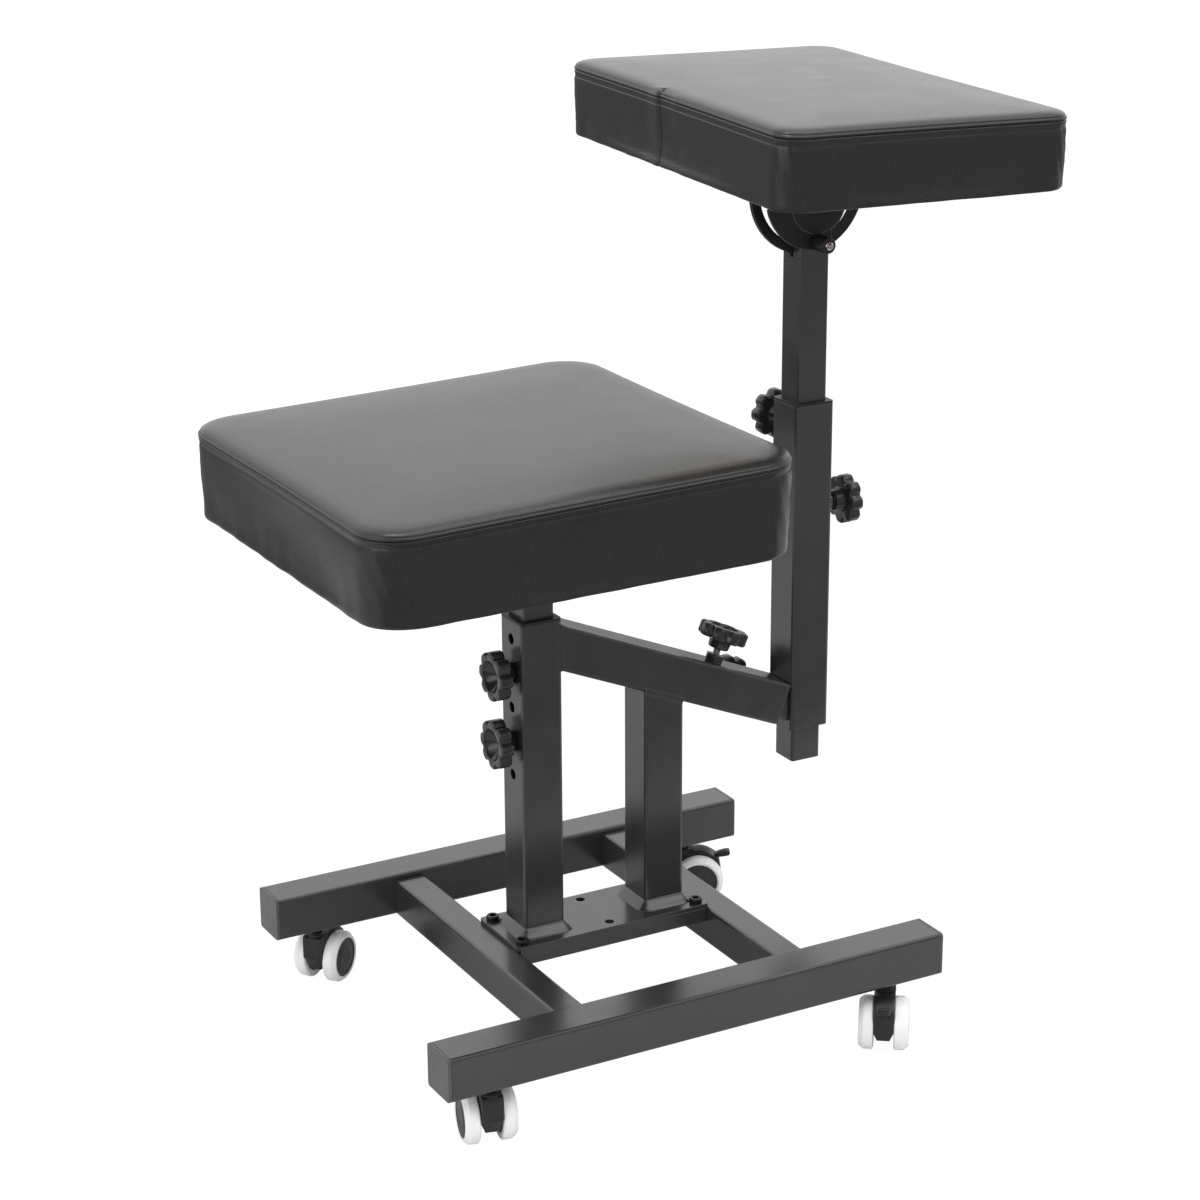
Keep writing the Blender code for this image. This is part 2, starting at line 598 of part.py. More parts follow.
def build_rest(head):
    """Everything that tilts: the slotted quadrant, the rest plate and the rest pad."""
    top = PIVOT_DROP - GAP
    outline = arc((0, 0), QUADRANT, math.pi, math.tau, 28) + [(QUADRANT, top), (-QUADRANT, top)]
    thick = QUADRANT_THICK / 2
    quadrant = piece("tilt_quadrant", prism(outline, -thick, thick, flat_xz), "frame_black", head)
    wide = PIVOT_BOLT / 2 + GAP
    low = -math.pi / 2 - SLOT_HALF_ANGLE
    high = -math.pi / 2 + SLOT_HALF_ANGLE
    first = (SLOT_RADIUS * math.cos(low), SLOT_RADIUS * math.sin(low))
    last = (SLOT_RADIUS * math.cos(high), SLOT_RADIUS * math.sin(high))
    slot = arc((0, 0), SLOT_RADIUS + wide, low, high, 24)
    slot += arc(last, wide, high, high + math.pi, 6)[1:-1]
    slot += arc((0, 0), SLOT_RADIUS - wide, high, low, 24)
    slot += arc(first, wide, low + math.pi, low + math.tau, 6)[1:-1]
    cut(quadrant, prism(slot, -INNER, INNER, flat_xz))
    cut(quadrant, round_bar(wide, -INNER, INNER, 20, flat_xz))
    mesh = prism(rounded(REST_PLATE_LENGTH, REST_PLATE_WIDTH, TUBE_ROUND), 0, REST_PLATE_THICK)
    piece("rest_plate", mesh, "frame_black", head, (0, 0, PIVOT_DROP))
    sizes = (REST_LENGTH, REST_WIDTH, REST_ROUND, REST_SEAM, REST_CROWN, REST_TUCK)
    build_pad("rest", head, (0, 0, PIVOT_DROP + REST_PLATE_THICK + GAP), sizes, REST_SKEW)


def lobed(radius, depth):
    """Star outline: a lobe and a hollow in turn."""
    count = KNOB_LOBES * 4
    points = []
    for index in range(count):
        angle = math.tau * index / count
        out = radius - depth * (0.5 - 0.5 * math.cos(KNOB_LOBES * angle))
        points.append((out * math.cos(angle), out * math.sin(angle)))
    return points


def star_knob(name, parent, place, turn, stand, stud):
    """Star knob along Z: its hub starts at the stand-off, its stud reaches back past the face at Z 0."""
    half = KNOB / 2
    hub = KNOB_HUB / 2
    back = stand + KNOB_HUB_LENGTH
    front = back + KNOB_HEAD
    edge = KNOB_HEAD * 0.14
    rings = [
        lift(lobed(STUD / 2, 0), -stud), lift(lobed(STUD / 2, 0), stand), lift(lobed(hub * 0.9, 0), stand),
        lift(lobed(hub, 0), back), lift(lobed(half - edge, KNOB_LOBE_DEPTH), back),
        lift(lobed(half, KNOB_LOBE_DEPTH), back + edge), lift(lobed(half, KNOB_LOBE_DEPTH), front - edge),
        lift(lobed(half - edge, KNOB_LOBE_DEPTH), front), lift(lobed(KNOB_CUP / 2, 0), front),
        lift(lobed(KNOB_CUP * 0.42, 0), front - KNOB_CUP_DEPTH),
    ]
    return piece(name, skin(rings), "knob_black", parent, place, turn)


def build_knobs(root, axis):
    depth = TUBE_WALL + BUSH_WALL + GAP
    nut_stand = NUT_HEIGHT + STUD_BARE
    holes = seat_holes()
    for label, height in (("upper", holes[1]), ("lower", holes[3])):
        star_knob("seat_knob_" + label, root, (SEAT_POST - TUBE / 2, 0, height), (0, -math.pi / 2, 0),
                  GAP, depth)
    star_knob("arm_knob_top", axis, (-TUBE / 2, 0, ARM_LENGTH - ARM_KNOB), (0, -math.pi / 2, 0),
              nut_stand, depth)
    star_knob("arm_knob_side", axis, (0, TUBE / 2, ARM_LENGTH - BUSH_DEPTH - MOUTH_KNOB),
              (-math.pi / 2, 0, 0), nut_stand, depth)
    star_knob("rest_knob_front", root, (REST_POST + TUBE / 2, 0, REST_TUBE_TOP - REST_KNOB),
              (0, math.pi / 2, 0), nut_stand, depth)
    star_knob("rest_knob_side", root, (REST_POST, TUBE / 2, REST_TUBE_TOP - BUSH_DEPTH - MOUTH_KNOB),
              (-math.pi / 2, 0, 0), nut_stand, depth)


def caster_outline(guard):
    """Side view of a caster body: a hood over the wheels and a neck under the stem."""
    axle = (TRAIL, WHEEL / 2)
    low = math.asin((guard - WHEEL / 2) / HOOD)
    neck = STEM / 2 + 0.0068
    points = arc(axle, HOOD, low, math.pi / 2, 10)
    points += [(-neck + 0.0025, CASTER_TOP), (-neck, CASTER_TOP - 0.0025), (-neck, WHEEL * 0.6),
               (-neck * 0.45, guard)]
    return points


def lever_place():
    """Pivot of the brake lever, in the hood above the axle."""
    reach = HOOD - LEVER_THICK
    return (TRAIL + reach * math.cos(math.radians(60)), WHEEL / 2 + reach * math.sin(math.radians(60)))


def build_casters(root):
    for label, (side_x, side_y) in (("near_rear", (-1, -1)), ("far_rear", (-1, 1)),
                                    ("near_front", (1, -1)), ("far_front", (1, 1))):
        place = (side_x * CASTER_X, side_y * RAIL_SPACING / 2, 0)
        stem_foot = CASTER_TOP - SOCKET_DEPTH - RAIL_UNDER
        nut = TUBE_WALL + GAP
        shank = STEM / 2
        profile = [(shank, stem_foot), (shank, -0.0028), (shank * 1.8, -0.0028), (shank * 1.8, -GAP),
                   (shank, -GAP), (shank, nut), (shank * 1.7, nut), (shank * 1.7, nut + 0.006),
                   (shank, nut + 0.006), (shank, nut + 0.010)]
        piece("caster_stem_" + label, turned(profile, 16), "steel_bright", root,
              (place[0], place[1], RAIL_UNDER))
        swivel = empty("caster_" + label, root, place, (0, 0, SWIVEL[label]))
        build_caster_body(label, swivel, label.endswith("front"))
        for hand, way in (("right", -1), ("left", 1)):
            build_wheel("caster_wheel_" + label + "_" + hand, swivel, way)


def build_caster_body(label, swivel, braked):
    half = CASTER_WIDTH / 2
    slim = half - GUARD_TAPER
    rings = []
    for side, guard in ((-half, WHEEL / 2), (-slim, GUARD_HEIGHT), (slim, GUARD_HEIGHT), (half, WHEEL / 2)):
        rings.append([flat_xz(u, v, side) for u, v in caster_outline(guard)])
    body = piece("caster_body_" + label, skin(rings), "plastic_black", swivel)
    reach = WHEEL_SIDE + WHEEL_WIDTH * 0.7
    join(body, round_bar(AXLE / 2, -reach, reach, 16, flat_xz, (TRAIL, WHEEL / 2)))
    cut(body, round_bar(STEM / 2 + GAP, CASTER_TOP - SOCKET_DEPTH - GAP, 2 * CASTER_TOP, 20))
    if not braked:
        return
    x, z = lever_place()
    wide = LEVER_WIDTH / 2 + GAP
    thick = LEVER_THICK / 2
    notch = box((x - thick * 2.2, -wide, z - thick * 1.9), (x + HOOD, wide, z + HOOD))
    cut(body, notch)
    pin = LEVER_THICK * 0.3
    cut(body, round_bar(pin + GAP, -half + 0.001, half - 0.001, 16, flat_xz, (x, z)))
    tilt = math.radians(12)
    tip = (LEVER_REACH * math.cos(tilt), LEVER_REACH * math.sin(tilt))
    outline = arc((0, 0), thick, math.pi / 2 + tilt, 1.5 * math.pi + tilt, 8)
    outline += arc(tip, thick, -math.pi / 2 + tilt, math.pi / 2 + tilt, 8)
    lever = piece("brake_lever_" + label, prism(outline, -LEVER_WIDTH / 2, LEVER_WIDTH / 2, flat_xz),
                  "plastic_black", swivel, (x, 0, z))
    join(lever, round_bar(pin, -half + 0.001 + GAP, half - 0.001 - GAP, 16, flat_xz))


def build_wheel(name, swivel, way):
    """Wheel on one side of a caster: light tread with chamfers, a domed cap disc and a blind bore."""
    radius = WHEEL / 2
    disc = CAP_DISC / 2
    bore = AXLE / 2 + GAP
    flat = (WHEEL_WIDTH - TREAD_WIDTH) * 0.3
    profile = [
        (bore, WHEEL_WIDTH * 0.7 + 2 * GAP), (bore, 0), (radius * 0.86, 0), (radius, flat),
        (radius, flat + TREAD_WIDTH), (radius * 0.91, WHEEL_WIDTH * 0.85), (disc + 0.001, WHEEL_WIDTH * 0.97),
        (disc, WHEEL_WIDTH * 0.93), (disc * 0.55, WHEEL_WIDTH),
    ]
    piece(name, turned(profile, 24), "tread_light", swivel, (TRAIL, way * WHEEL_SIDE, radius),
          (-way * math.pi / 2, 0, 0))


def settle(root):
    """Put the origin on the floor under the middle of the stool's box."""
    bpy.context.view_layer.update()
    depsgraph = bpy.context.evaluated_depsgraph_get()
    spots = []
    for item in bpy.context.scene.objects:
        if item.type == "MESH" and not item.hide_render:
            solid = item.evaluated_get(depsgraph)
            spots += [item.matrix_world @ vertex.co for vertex in solid.data.vertices]
    for side in (0, 1):
        values = [spot[side] for spot in spots]
        root.location[side] = -(min(values) + max(values)) / 2


def build():
    clear_scene()
    root = empty("stool_root", None, (0, 0, 0))
    build_base(root)
    axis = build_posts(root)
    build_seat(root)
    build_rest_post(root, axis)
    head = build_rest_slide(root)
    build_rest(head)
    build_knobs(root, axis)
    build_casters(root)
    settle(root)


build()
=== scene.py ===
import json
import math

import bmesh
import bpy
from mathutils import Matrix, Vector, noise
from mathutils.bvhtree import BVHTree


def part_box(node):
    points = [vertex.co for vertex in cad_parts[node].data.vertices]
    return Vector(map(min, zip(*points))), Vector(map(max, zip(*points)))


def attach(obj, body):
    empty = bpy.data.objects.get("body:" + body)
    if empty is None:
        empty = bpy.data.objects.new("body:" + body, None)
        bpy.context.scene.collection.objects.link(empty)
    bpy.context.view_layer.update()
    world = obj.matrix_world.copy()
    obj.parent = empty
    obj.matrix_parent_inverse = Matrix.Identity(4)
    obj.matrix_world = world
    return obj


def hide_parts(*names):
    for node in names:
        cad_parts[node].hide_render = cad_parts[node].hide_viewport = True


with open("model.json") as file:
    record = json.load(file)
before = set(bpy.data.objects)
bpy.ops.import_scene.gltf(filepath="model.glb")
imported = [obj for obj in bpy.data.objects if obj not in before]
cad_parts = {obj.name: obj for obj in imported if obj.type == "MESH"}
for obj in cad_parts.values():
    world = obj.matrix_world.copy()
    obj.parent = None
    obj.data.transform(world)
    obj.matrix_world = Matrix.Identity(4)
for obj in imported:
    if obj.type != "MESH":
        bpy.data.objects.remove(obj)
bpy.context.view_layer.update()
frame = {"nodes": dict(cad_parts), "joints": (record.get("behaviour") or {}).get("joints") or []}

scene = bpy.context.scene
joints = {joint["name"]: joint for joint in frame["joints"]}


# Small helpers for meshes

def linked(name, mesh, material):
    made = bpy.data.objects.new(name, mesh)
    scene.collection.objects.link(made)
    mesh.materials.append(material)
    return made


def meshOf(name, points, faces, sharp=38):
    shell = bmesh.new()
    spots = [shell.verts.new(point) for point in points]
    for face in faces:
        shell.faces.new([spots[index] for index in face])
    bmesh.ops.recalc_face_normals(shell, faces=shell.faces)
    mesh = bpy.data.meshes.new(name)
    shell.to_mesh(mesh)
    shell.free()
    mesh.shade_smooth()
    mesh.set_sharp_from_angle(angle=math.radians(sharp))
    return mesh


def shaped(name, part, material, sharp=38):
    return linked(name, meshOf(name, *part, sharp), material)


def loft(rings, loop=False):
    # points and faces of a closed skin over rings of equal length
    size = len(rings[0])
    points = [point for ring in rings for point in ring]
    faces = []
    last = len(rings) if loop else len(rings) - 1
    for row in range(last):
        below = row * size
        above = ((row + 1) % len(rings)) * size
        for index in range(size):
            after = (index + 1) % size
            faces.append((below + index, below + after, above + after, above + index))
    if not loop:
        faces.append(tuple(range(size - 1, -1, -1)))
        faces.append(tuple(range((len(rings) - 1) * size, len(rings) * size)))
    return points, faces


def merged(*parts):
    points, faces = [], []
    for somePoints, someFaces in parts:
        shift = len(points)
        points += list(somePoints)
        faces += [tuple(index + shift for index in face) for face in someFaces]
    return points, faces


def moved(part, matrix):
    return [matrix @ Vector(point) for point in part[0]], part[1]


def ringAt(radius, sides, height):
    angles = [math.tau * k / sides for k in range(sides)]
    return [(radius * math.cos(angle), radius * math.sin(angle), height) for angle in angles]


def turned(profile, sides, loop=False):
    return loft([ringAt(radius, sides, height) for radius, height in profile], loop)


def softened(profile, radius, steps=3, loop=False):
    # rounds the bends of a radius and height profile
    result = []
    count = len(profile)
    for index, here in enumerate(profile):
        if not loop and index in (0, count - 1):
            result.append(here)
            continue
        here = Vector(here)
        before = Vector(profile[index - 1]) - here
        after = Vector(profile[(index + 1) % count]) - here
        reach = min(radius, before.length * 0.45, after.length * 0.45)
        start = here + before.normalized() * reach
        end = here + after.normalized() * reach
        for step in range(steps + 1):
            t = step / steps
            spot = start.lerp(here, t).lerp(here.lerp(end, t), t)
            result.append((spot.x, spot.y))
    return result


def arcPoints(centre, radius, start, end, steps):
    angles = [start + (end - start) * k / steps for k in range(steps + 1)]
    return [(centre[0] + radius * math.cos(angle), centre[1] + radius * math.sin(angle)) for angle in angles]


def standing(place, axis):
    turn = Vector((0, 0, 1)).rotation_difference(Vector(axis)).to_matrix().to_4x4()
    return Matrix.Translation(Vector(place)) @ turn


def tubeAlong(line, radius, sides=8, tip=0.35):
    # a round wire along a line of points, thinner at its two ends
    rings = []
    for k, point in enumerate(line):
        ahead = Vector(line[min(k + 1, len(line) - 1)]) - Vector(line[max(k - 1, 0)])
        across = standing(point, ahead.normalized())
        size = radius * (tip if k in (0, len(line) - 1) else 1.0)
        rings.append([across @ Vector(spot) for spot in ringAt(size, sides, 0)])
    return loft(rings)


threadLook = {"pitch": 0.00125, "flank": 0.0006, "depth": 0.0006}


def threads(first, second, start, stop):
    # profile of a screw thread from one height towards another: two radii in turn
    way = 1 if stop > start else -1
    profile = []
    while (stop - start) * way > 0:
        profile += [(first, start), (second, start + way * threadLook["flank"])]
        start += way * threadLook["pitch"]
    return profile


def smooth(low, high, value):
    t = min(max((value - low) / (high - low), 0.0), 1.0)
    return t * t * (3 - 2 * t)


def footOf(node):
    # the middle of a node's lowest face
    low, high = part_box(node)
    return Vector(((low.x + high.x) / 2, (low.y + high.y) / 2, low.z))


# Small helpers for node trees

def feed(tree, node, inputs):
    # each input takes a plain value, or a link from another node's output
    for key, value in inputs.items():
        if isinstance(value, bpy.types.NodeSocket):
            tree.links.new(value, node.inputs[key])
        else:
            node.inputs[key].default_value = value
    return node


def addNode(tree, kind, inputs=None, **settings):
    node = tree.nodes.new(kind)
    for key, value in settings.items():
        setattr(node, key, value)
    return feed(tree, node, inputs or {})


def newMaterial(name):
    made = bpy.data.materials.new(name)
    made.use_nodes = True
    return made, made.node_tree, made.node_tree.nodes["Principled BSDF"]


def noiseField(tree, scale, detail, stretch=None, distortion=0.0):
    coords = addNode(tree, "ShaderNodeTexCoord").outputs["Object"]
    if stretch:
        coords = addNode(tree, "ShaderNodeMapping", {"Vector": coords, "Scale": stretch}).outputs["Vector"]
    return addNode(tree, "ShaderNodeTexNoise", {
        "Vector": coords, "Scale": scale, "Detail": detail, "Distortion": distortion}).outputs[0]


def cellField(tree, scale, wobble):
    # pebble grain: rounded cells with creases between them
    coords = addNode(tree, "ShaderNodeTexCoord").outputs["Object"]
    bend = addNode(tree, "ShaderNodeTexNoise", {"Vector": coords, "Scale": scale * 0.45, "Detail": 1.0})
    bent = addNode(tree, "ShaderNodeVectorMath", {0: bend.outputs["Color"], 1: (wobble,) * 3, 2: coords},
                   operation="MULTIPLY_ADD")
    return addNode(tree, "ShaderNodeTexVoronoi", {"Vector": bent.outputs["Vector"], "Scale": scale},
                   feature="SMOOTH_F1").outputs["Distance"]


def spread(tree, field, low, high, start=0.3, stop=0.7):
    return addNode(tree, "ShaderNodeMapRange", {
        "Value": field, "From Min": start, "From Max": stop, "To Min": low, "To Max": high}).outputs["Result"]


def tones(tree, field, first, second, start=0.3, stop=0.7):
    node = addNode(tree, "ShaderNodeValToRGB", {"Fac": field})
    for element, place, colour in zip(node.color_ramp.elements, (start, stop), (first, second)):
        element.position = place
        element.color = (*colour, 1.0)
    return node.outputs["Color"]


def bumped(tree, field, strength, distance, under=None):
    node = addNode(tree, "ShaderNodeBump", {"Height": field, "Strength": strength, "Distance": distance})
    return feed(tree, node, {"Normal": under} if under else {}).outputs["Normal"]


def edgeField(tree, radius):
    # rounded normal of an edge, and 1 on edges, where a lighter colour stands for a painted highlight and for
    # worn paint
    rounded = addNode(tree, "ShaderNodeBevel", {"Radius": radius}, samples=4).outputs["Normal"]
    facing = addNode(tree, "ShaderNodeNewGeometry").outputs["Normal"]
    match = addNode(tree, "ShaderNodeVectorMath", {0: rounded, 1: facing}, operation="DOT_PRODUCT")
    return rounded, spread(tree, match.outputs["Value"], 0.0, 1.0, 0.995, 0.88)


def mixColour(tree, factor, first, second):
    return addNode(tree, "ShaderNodeMix", {"Factor": factor, "A": first, "B": (*second, 1.0)},
                   data_type="RGBA").outputs["Result"]


def paintedSteel(name, look):
    made, tree, shader = newMaterial(name)
    # edges take their own lighter colour: a painted highlight along the rounded edges, together with worn
    # paint
    rounded, edgeWearAndGlint = edgeField(tree, look["edge"])
    mottle = tones(tree, noiseField(tree, scale=11, detail=3), look["dark"], look["light"])
    waves = noiseField(tree, scale=look["peel"], detail=2)
    dust = noiseField(tree, scale=look["peel"] * 4, detail=1)
    peel = bumped(tree, waves, strength=look["bump"], distance=0.0004, under=rounded)
    feed(tree, shader, {
        "Base Color": mixColour(tree, edgeWearAndGlint, mottle, look["edgeWearAndHighlight"]),
        "Roughness": spread(tree, noiseField(tree, scale=35, detail=4), *look["roughness"]),
        "Normal": bumped(tree, dust, strength=look["bump"] * 0.5, distance=0.0001, under=peel),
        "Specular IOR Level": look["specular"]})
    return made


def leatherette(name, look):
    made, tree, shader = newMaterial(name)
    grain = cellField(tree, look["grain"], wobble=0.0012)
    pores = noiseField(tree, scale=look["grain"] * 3.2, detail=2)
    soft = noiseField(tree, scale=26, detail=3, distortion=0.4)
    base = tones(tree, grain, look["light"], look["dark"], 0.15, 0.75)
    raised = spread(tree, grain, 1.0, 0.0, 0.0, 1.0)
    cells = bumped(tree, raised, strength=look["bump"], distance=0.0003)
    feed(tree, shader, {
        "Base Color": mixColour(tree, spread(tree, soft, 0.0, 0.35), base, look["dull"]),
        "Roughness": spread(tree, soft, *look["roughness"]),
        "Normal": bumped(tree, pores, strength=look["bump"] * 0.6, distance=0.0001, under=cells),
        "Specular IOR Level": look["specular"]})
    return made


def mouldedPlastic(name, look):
    made, tree, shader = newMaterial(name)
    # edges take their own colour: where lighter (knobs, black parts, wheel discs) it is a painted highlight
    # along the edge with wear; end caps and treads get darker edges
    rounded, edgeWearAndGlint = edgeField(tree, look["edge"])
    base = tones(tree, noiseField(tree, scale=60, detail=3), look["dark"], look["light"])
    texture = noiseField(tree, scale=look["texture"], detail=2)
    feed(tree, shader, {
        "Base Color": mixColour(tree, edgeWearAndGlint, base, look["edgeWearAndHighlight"]),
        "Roughness": spread(tree, noiseField(tree, scale=130, detail=4), *look["roughness"]),
        "Normal": bumped(tree, texture, strength=look["bump"], distance=0.0002, under=rounded)})
    return made


def plainMetal(name, look):
    made, tree, shader = newMaterial(name)
    lines = noiseField(tree, scale=60, detail=4, stretch=look["brushed"])
    feed(tree, shader, {
        "Metallic": 1.0,
        "Base Color": tones(tree, lines, look["dark"], look["light"]),
        "Roughness": spread(tree, noiseField(tree, scale=180, detail=3), *look["roughness"]),
        "Normal": bumped(tree, lines, strength=0.10, distance=0.0002)})
    return made


def plywood(name, look):
    made, tree, shader = newMaterial(name)
    figure = noiseField(tree, scale=9, detail=6, stretch=(1.0, 11.0, 11.0), distortion=1.2)
    fibres = noiseField(tree, scale=110, detail=3, stretch=(1.0, 14.0, 14.0))
    base = tones(tree, figure, look["light"], look["dark"], 0.35, 0.68)
    feed(tree, shader, {
        "Base Color": mixColour(tree, spread(tree, fibres, 0.0, 0.5), base, look["fibre"]),
        "Roughness": spread(tree, fibres, 0.62, 0.8),
        "Normal": bumped(tree, fibres, strength=0.25, distance=0.0004)})
    return made


# its lighter edge colour is partly worn paint, partly a painted highlight along the tube edges
coat = paintedSteel("powderCoat", {
    "dark": (0.021, 0.021, 0.022), "light": (0.029, 0.029, 0.030), "edgeWearAndHighlight": (0.052, 0.052, 0.054),
    "roughness": (0.20, 0.27), "peel": 950, "bump": 0.05, "edge": 0.0011, "specular": 0.9})
# its light edge colour is a painted highlight: bright lines along the edges of the cheeks and quadrant
headCoat = paintedSteel("headCoat", {
    "dark": (0.009, 0.009, 0.010), "light": (0.013, 0.013, 0.014), "edgeWearAndHighlight": (0.150, 0.150, 0.152),
    "roughness": (0.38, 0.48), "peel": 1100, "bump": 0.10, "edge": 0.0010, "specular": 0.35})
cover = leatherette("leatherette", {
    "dark": (0.015, 0.015, 0.0155), "light": (0.021, 0.021, 0.0215), "dull": (0.021, 0.021, 0.0215),
    "grain": 540, "bump": 0.30, "roughness": (0.25, 0.28), "specular": 0.37})
thread = leatherette("sewingThread", {
    "dark": (0.016, 0.016, 0.017), "light": (0.028, 0.028, 0.029), "dull": (0.021, 0.021, 0.022),
    "grain": 4200, "bump": 0.5, "roughness": (0.45, 0.60), "specular": 0.4})
# its light edge colour is a painted highlight on the rims and lobes of the knobs
knobGloss = mouldedPlastic("knobGloss", {
    "dark": (0.018, 0.018, 0.018), "light": (0.023, 0.023, 0.024), "edgeWearAndHighlight": (0.055, 0.055, 0.056),
    "roughness": (0.14, 0.22), "texture": 700, "bump": 0.03, "edge": 0.0007})
moulded = mouldedPlastic("mouldedBlack", {
    "dark": (0.011, 0.011, 0.012), "light": (0.016, 0.016, 0.017), "edgeWearAndHighlight": (0.030, 0.030, 0.031),
    "roughness": (0.36, 0.50), "texture": 2600, "bump": 0.16, "edge": 0.0007})
capPlastic = mouldedPlastic("endCapPlastic", {
    "dark": (0.074, 0.074, 0.076), "light": (0.090, 0.090, 0.092), "edgeWearAndHighlight": (0.030, 0.030, 0.031),
    "roughness": (0.36, 0.48), "texture": 1800, "bump": 0.14, "edge": 0.0010})
hubGrey = mouldedPlastic("wheelDisc", {
    "dark": (0.026, 0.026, 0.027), "light": (0.040, 0.040, 0.041), "edgeWearAndHighlight": (0.070, 0.070, 0.071),
    "roughness": (0.30, 0.42), "texture": 1900, "bump": 0.10, "edge": 0.0005})
treadPale = mouldedPlastic("paleTread", {
    "dark": (0.84, 0.84, 0.835), "light": (0.91, 0.91, 0.905), "edgeWearAndHighlight": (0.76, 0.76, 0.75),
    "roughness": (0.34, 0.52), "texture": 1500, "bump": 0.12, "edge": 0.0006})
steel = plainMetal("zincSteel", {
    "dark": (0.46, 0.46, 0.47), "light": (0.68, 0.68, 0.69), "roughness": (0.20, 0.36),
    "brushed": (3.0, 3.0, 24.0)})
blackSteel = plainMetal("blackOxide", {
    "dark": (0.030, 0.030, 0.032), "light": (0.055, 0.055, 0.057), "roughness": (0.30, 0.44),
    "brushed": (14.0, 14.0, 4.0)})
boardWood = plywood("plywoodBoard", {
    "light": (0.50, 0.36, 0.21), "dark": (0.33, 0.21, 0.11), "fibre": (0.40, 0.27, 0.15)})
print("materials made")


# CAD nodes that stay get the finished materials

kept = {
    coat: ["base_rail_near", "base_rail_far", "cross_member_rear", "cross_member_front", "carrier_channel",
           "post_plate", "seat_outer_tube", "support_post", "arm_outer_tube", "seat_inner_tube", "seat_plate",
           "arm_inner_tube", "rest_outer_tube", "rest_inner_tube", "rest_plate"],
    headCoat: ["tilt_cheek_near", "tilt_cheek_far", "tilt_quadrant"],
    capPlastic: ["rail_cap_near_rear", "rail_cap_near_front", "rail_cap_far_rear", "rail_cap_far_front"],
    moulded: ["seat_bush", "arm_bush", "rest_bush"],
    blackSteel: ["tilt_pivot_bolt"],
    boardWood: ["seat_board", "rest_board"],
}
for material, names in kept.items():
    for name in names:
        mesh = frame["nodes"][name].data
        mesh.materials.clear()
        mesh.materials.append(material)
print("kept nodes finished")


# Geometry Nodes: rows of beads for stitches and welds, copies on points for bolts, screws and staples

def newTree(name, inputs, output):
    # an empty tree with named inputs, their identifiers, and the outputs of its input node
    tree = bpy.data.node_groups.new(name, "GeometryNodeTree")
    sockets = {}
    for label, kind, value in inputs:
        socket = tree.interface.new_socket(name=label, in_out="INPUT", socket_type="NodeSocket" + kind)
        if value is not None:
            socket.default_value = value
        sockets[label] = socket.identifier
    tree.interface.new_socket(name=output, in_out="OUTPUT", socket_type="NodeSocketGeometry")
    return tree, sockets, tree.nodes.new("NodeGroupInput").outputs


def closeTree(tree, geometry, material, output):
    finish = addNode(tree, "GeometryNodeSetMaterial", {"Geometry": geometry, "Material": material})
    addNode(tree, "NodeGroupOutput", {output: finish.outputs["Geometry"]})


def rowTree(name, fixed):
    # a rounded bead along a path: the pitch, and the length, width and height of one bead
    tree, sockets, given = newTree(name, (
        ("Path", "Geometry", None), ("Pitch", "Float", 0.004), ("Length", "Float", 0.003),
        ("Width", "Float", 0.001), ("Height", "Float", 0.001), ("Finish", "Material", None)), "Row")
    path = addNode(tree, "GeometryNodeMeshToCurve", {"Mesh": given["Path"]})
    even = addNode(tree, "GeometryNodeResampleCurve",
                   {"Curve": path.outputs["Curve"], "Length": given["Pitch"]}, mode="LENGTH")
    ball = addNode(tree, "GeometryNodeMeshUVSphere",
                   {"Segments": fixed["segments"], "Rings": fixed["rings"], "Radius": 0.5})
    size = addNode(tree, "ShaderNodeCombineXYZ",
                   {"X": given["Length"], "Y": given["Width"], "Z": given["Height"]})
    bead = addNode(tree, "GeometryNodeTransform",
                   {"Geometry": ball.outputs["Mesh"], "Scale": size.outputs["Vector"]})
    tangent = tree.nodes.new("GeometryNodeInputTangent")
    aim = addNode(tree, "FunctionNodeAlignRotationToVector", {"Vector": tangent.outputs["Tangent"]}, axis="X")
    vary = addNode(tree, "FunctionNodeRandomValue",
                   {0: (1 - fixed["vary"],) * 3, 1: (1 + fixed["vary"],) * 3, "Seed": fixed["seed"]},
                   data_type="FLOAT_VECTOR")
    copies = addNode(tree, "GeometryNodeInstanceOnPoints", {
        "Points": even.outputs["Curve"], "Instance": bead.outputs["Geometry"],
        "Rotation": aim.outputs["Rotation"], "Scale": vary.outputs[0]})
    real = addNode(tree, "GeometryNodeRealizeInstances", {"Geometry": copies.outputs["Instances"]})
    smoothed = addNode(tree, "GeometryNodeSetShadeSmooth", {"Geometry": real.outputs["Geometry"]})
    closeTree(tree, smoothed.outputs["Geometry"], given["Finish"], "Row")
    return tree, sockets


def scatterTree(name):
    # a copy of a made shape on each point, turned as the point's own attribute says
    tree, sockets, given = newTree(name, (
        ("Spots", "Geometry", None), ("Shape", "Object", None), ("Finish", "Material", None)), "Copies")
    shape = addNode(tree, "GeometryNodeObjectInfo", {"Object": given["Shape"]})
    turn = addNode(tree, "GeometryNodeInputNamedAttribute", {"Name": "turn"}, data_type="FLOAT_VECTOR")
    rotation = addNode(tree, "FunctionNodeEulerToRotation", {"Euler": turn.outputs["Attribute"]})
    copies = addNode(tree, "GeometryNodeInstanceOnPoints", {
        "Points": given["Spots"], "Instance": shape.outputs["Geometry"],
        "Rotation": rotation.outputs["Rotation"]})
    real = addNode(tree, "GeometryNodeRealizeInstances", {"Geometry": copies.outputs["Instances"]})
    closeTree(tree, real.outputs["Geometry"], given["Finish"], "Copies")
    return tree, sockets


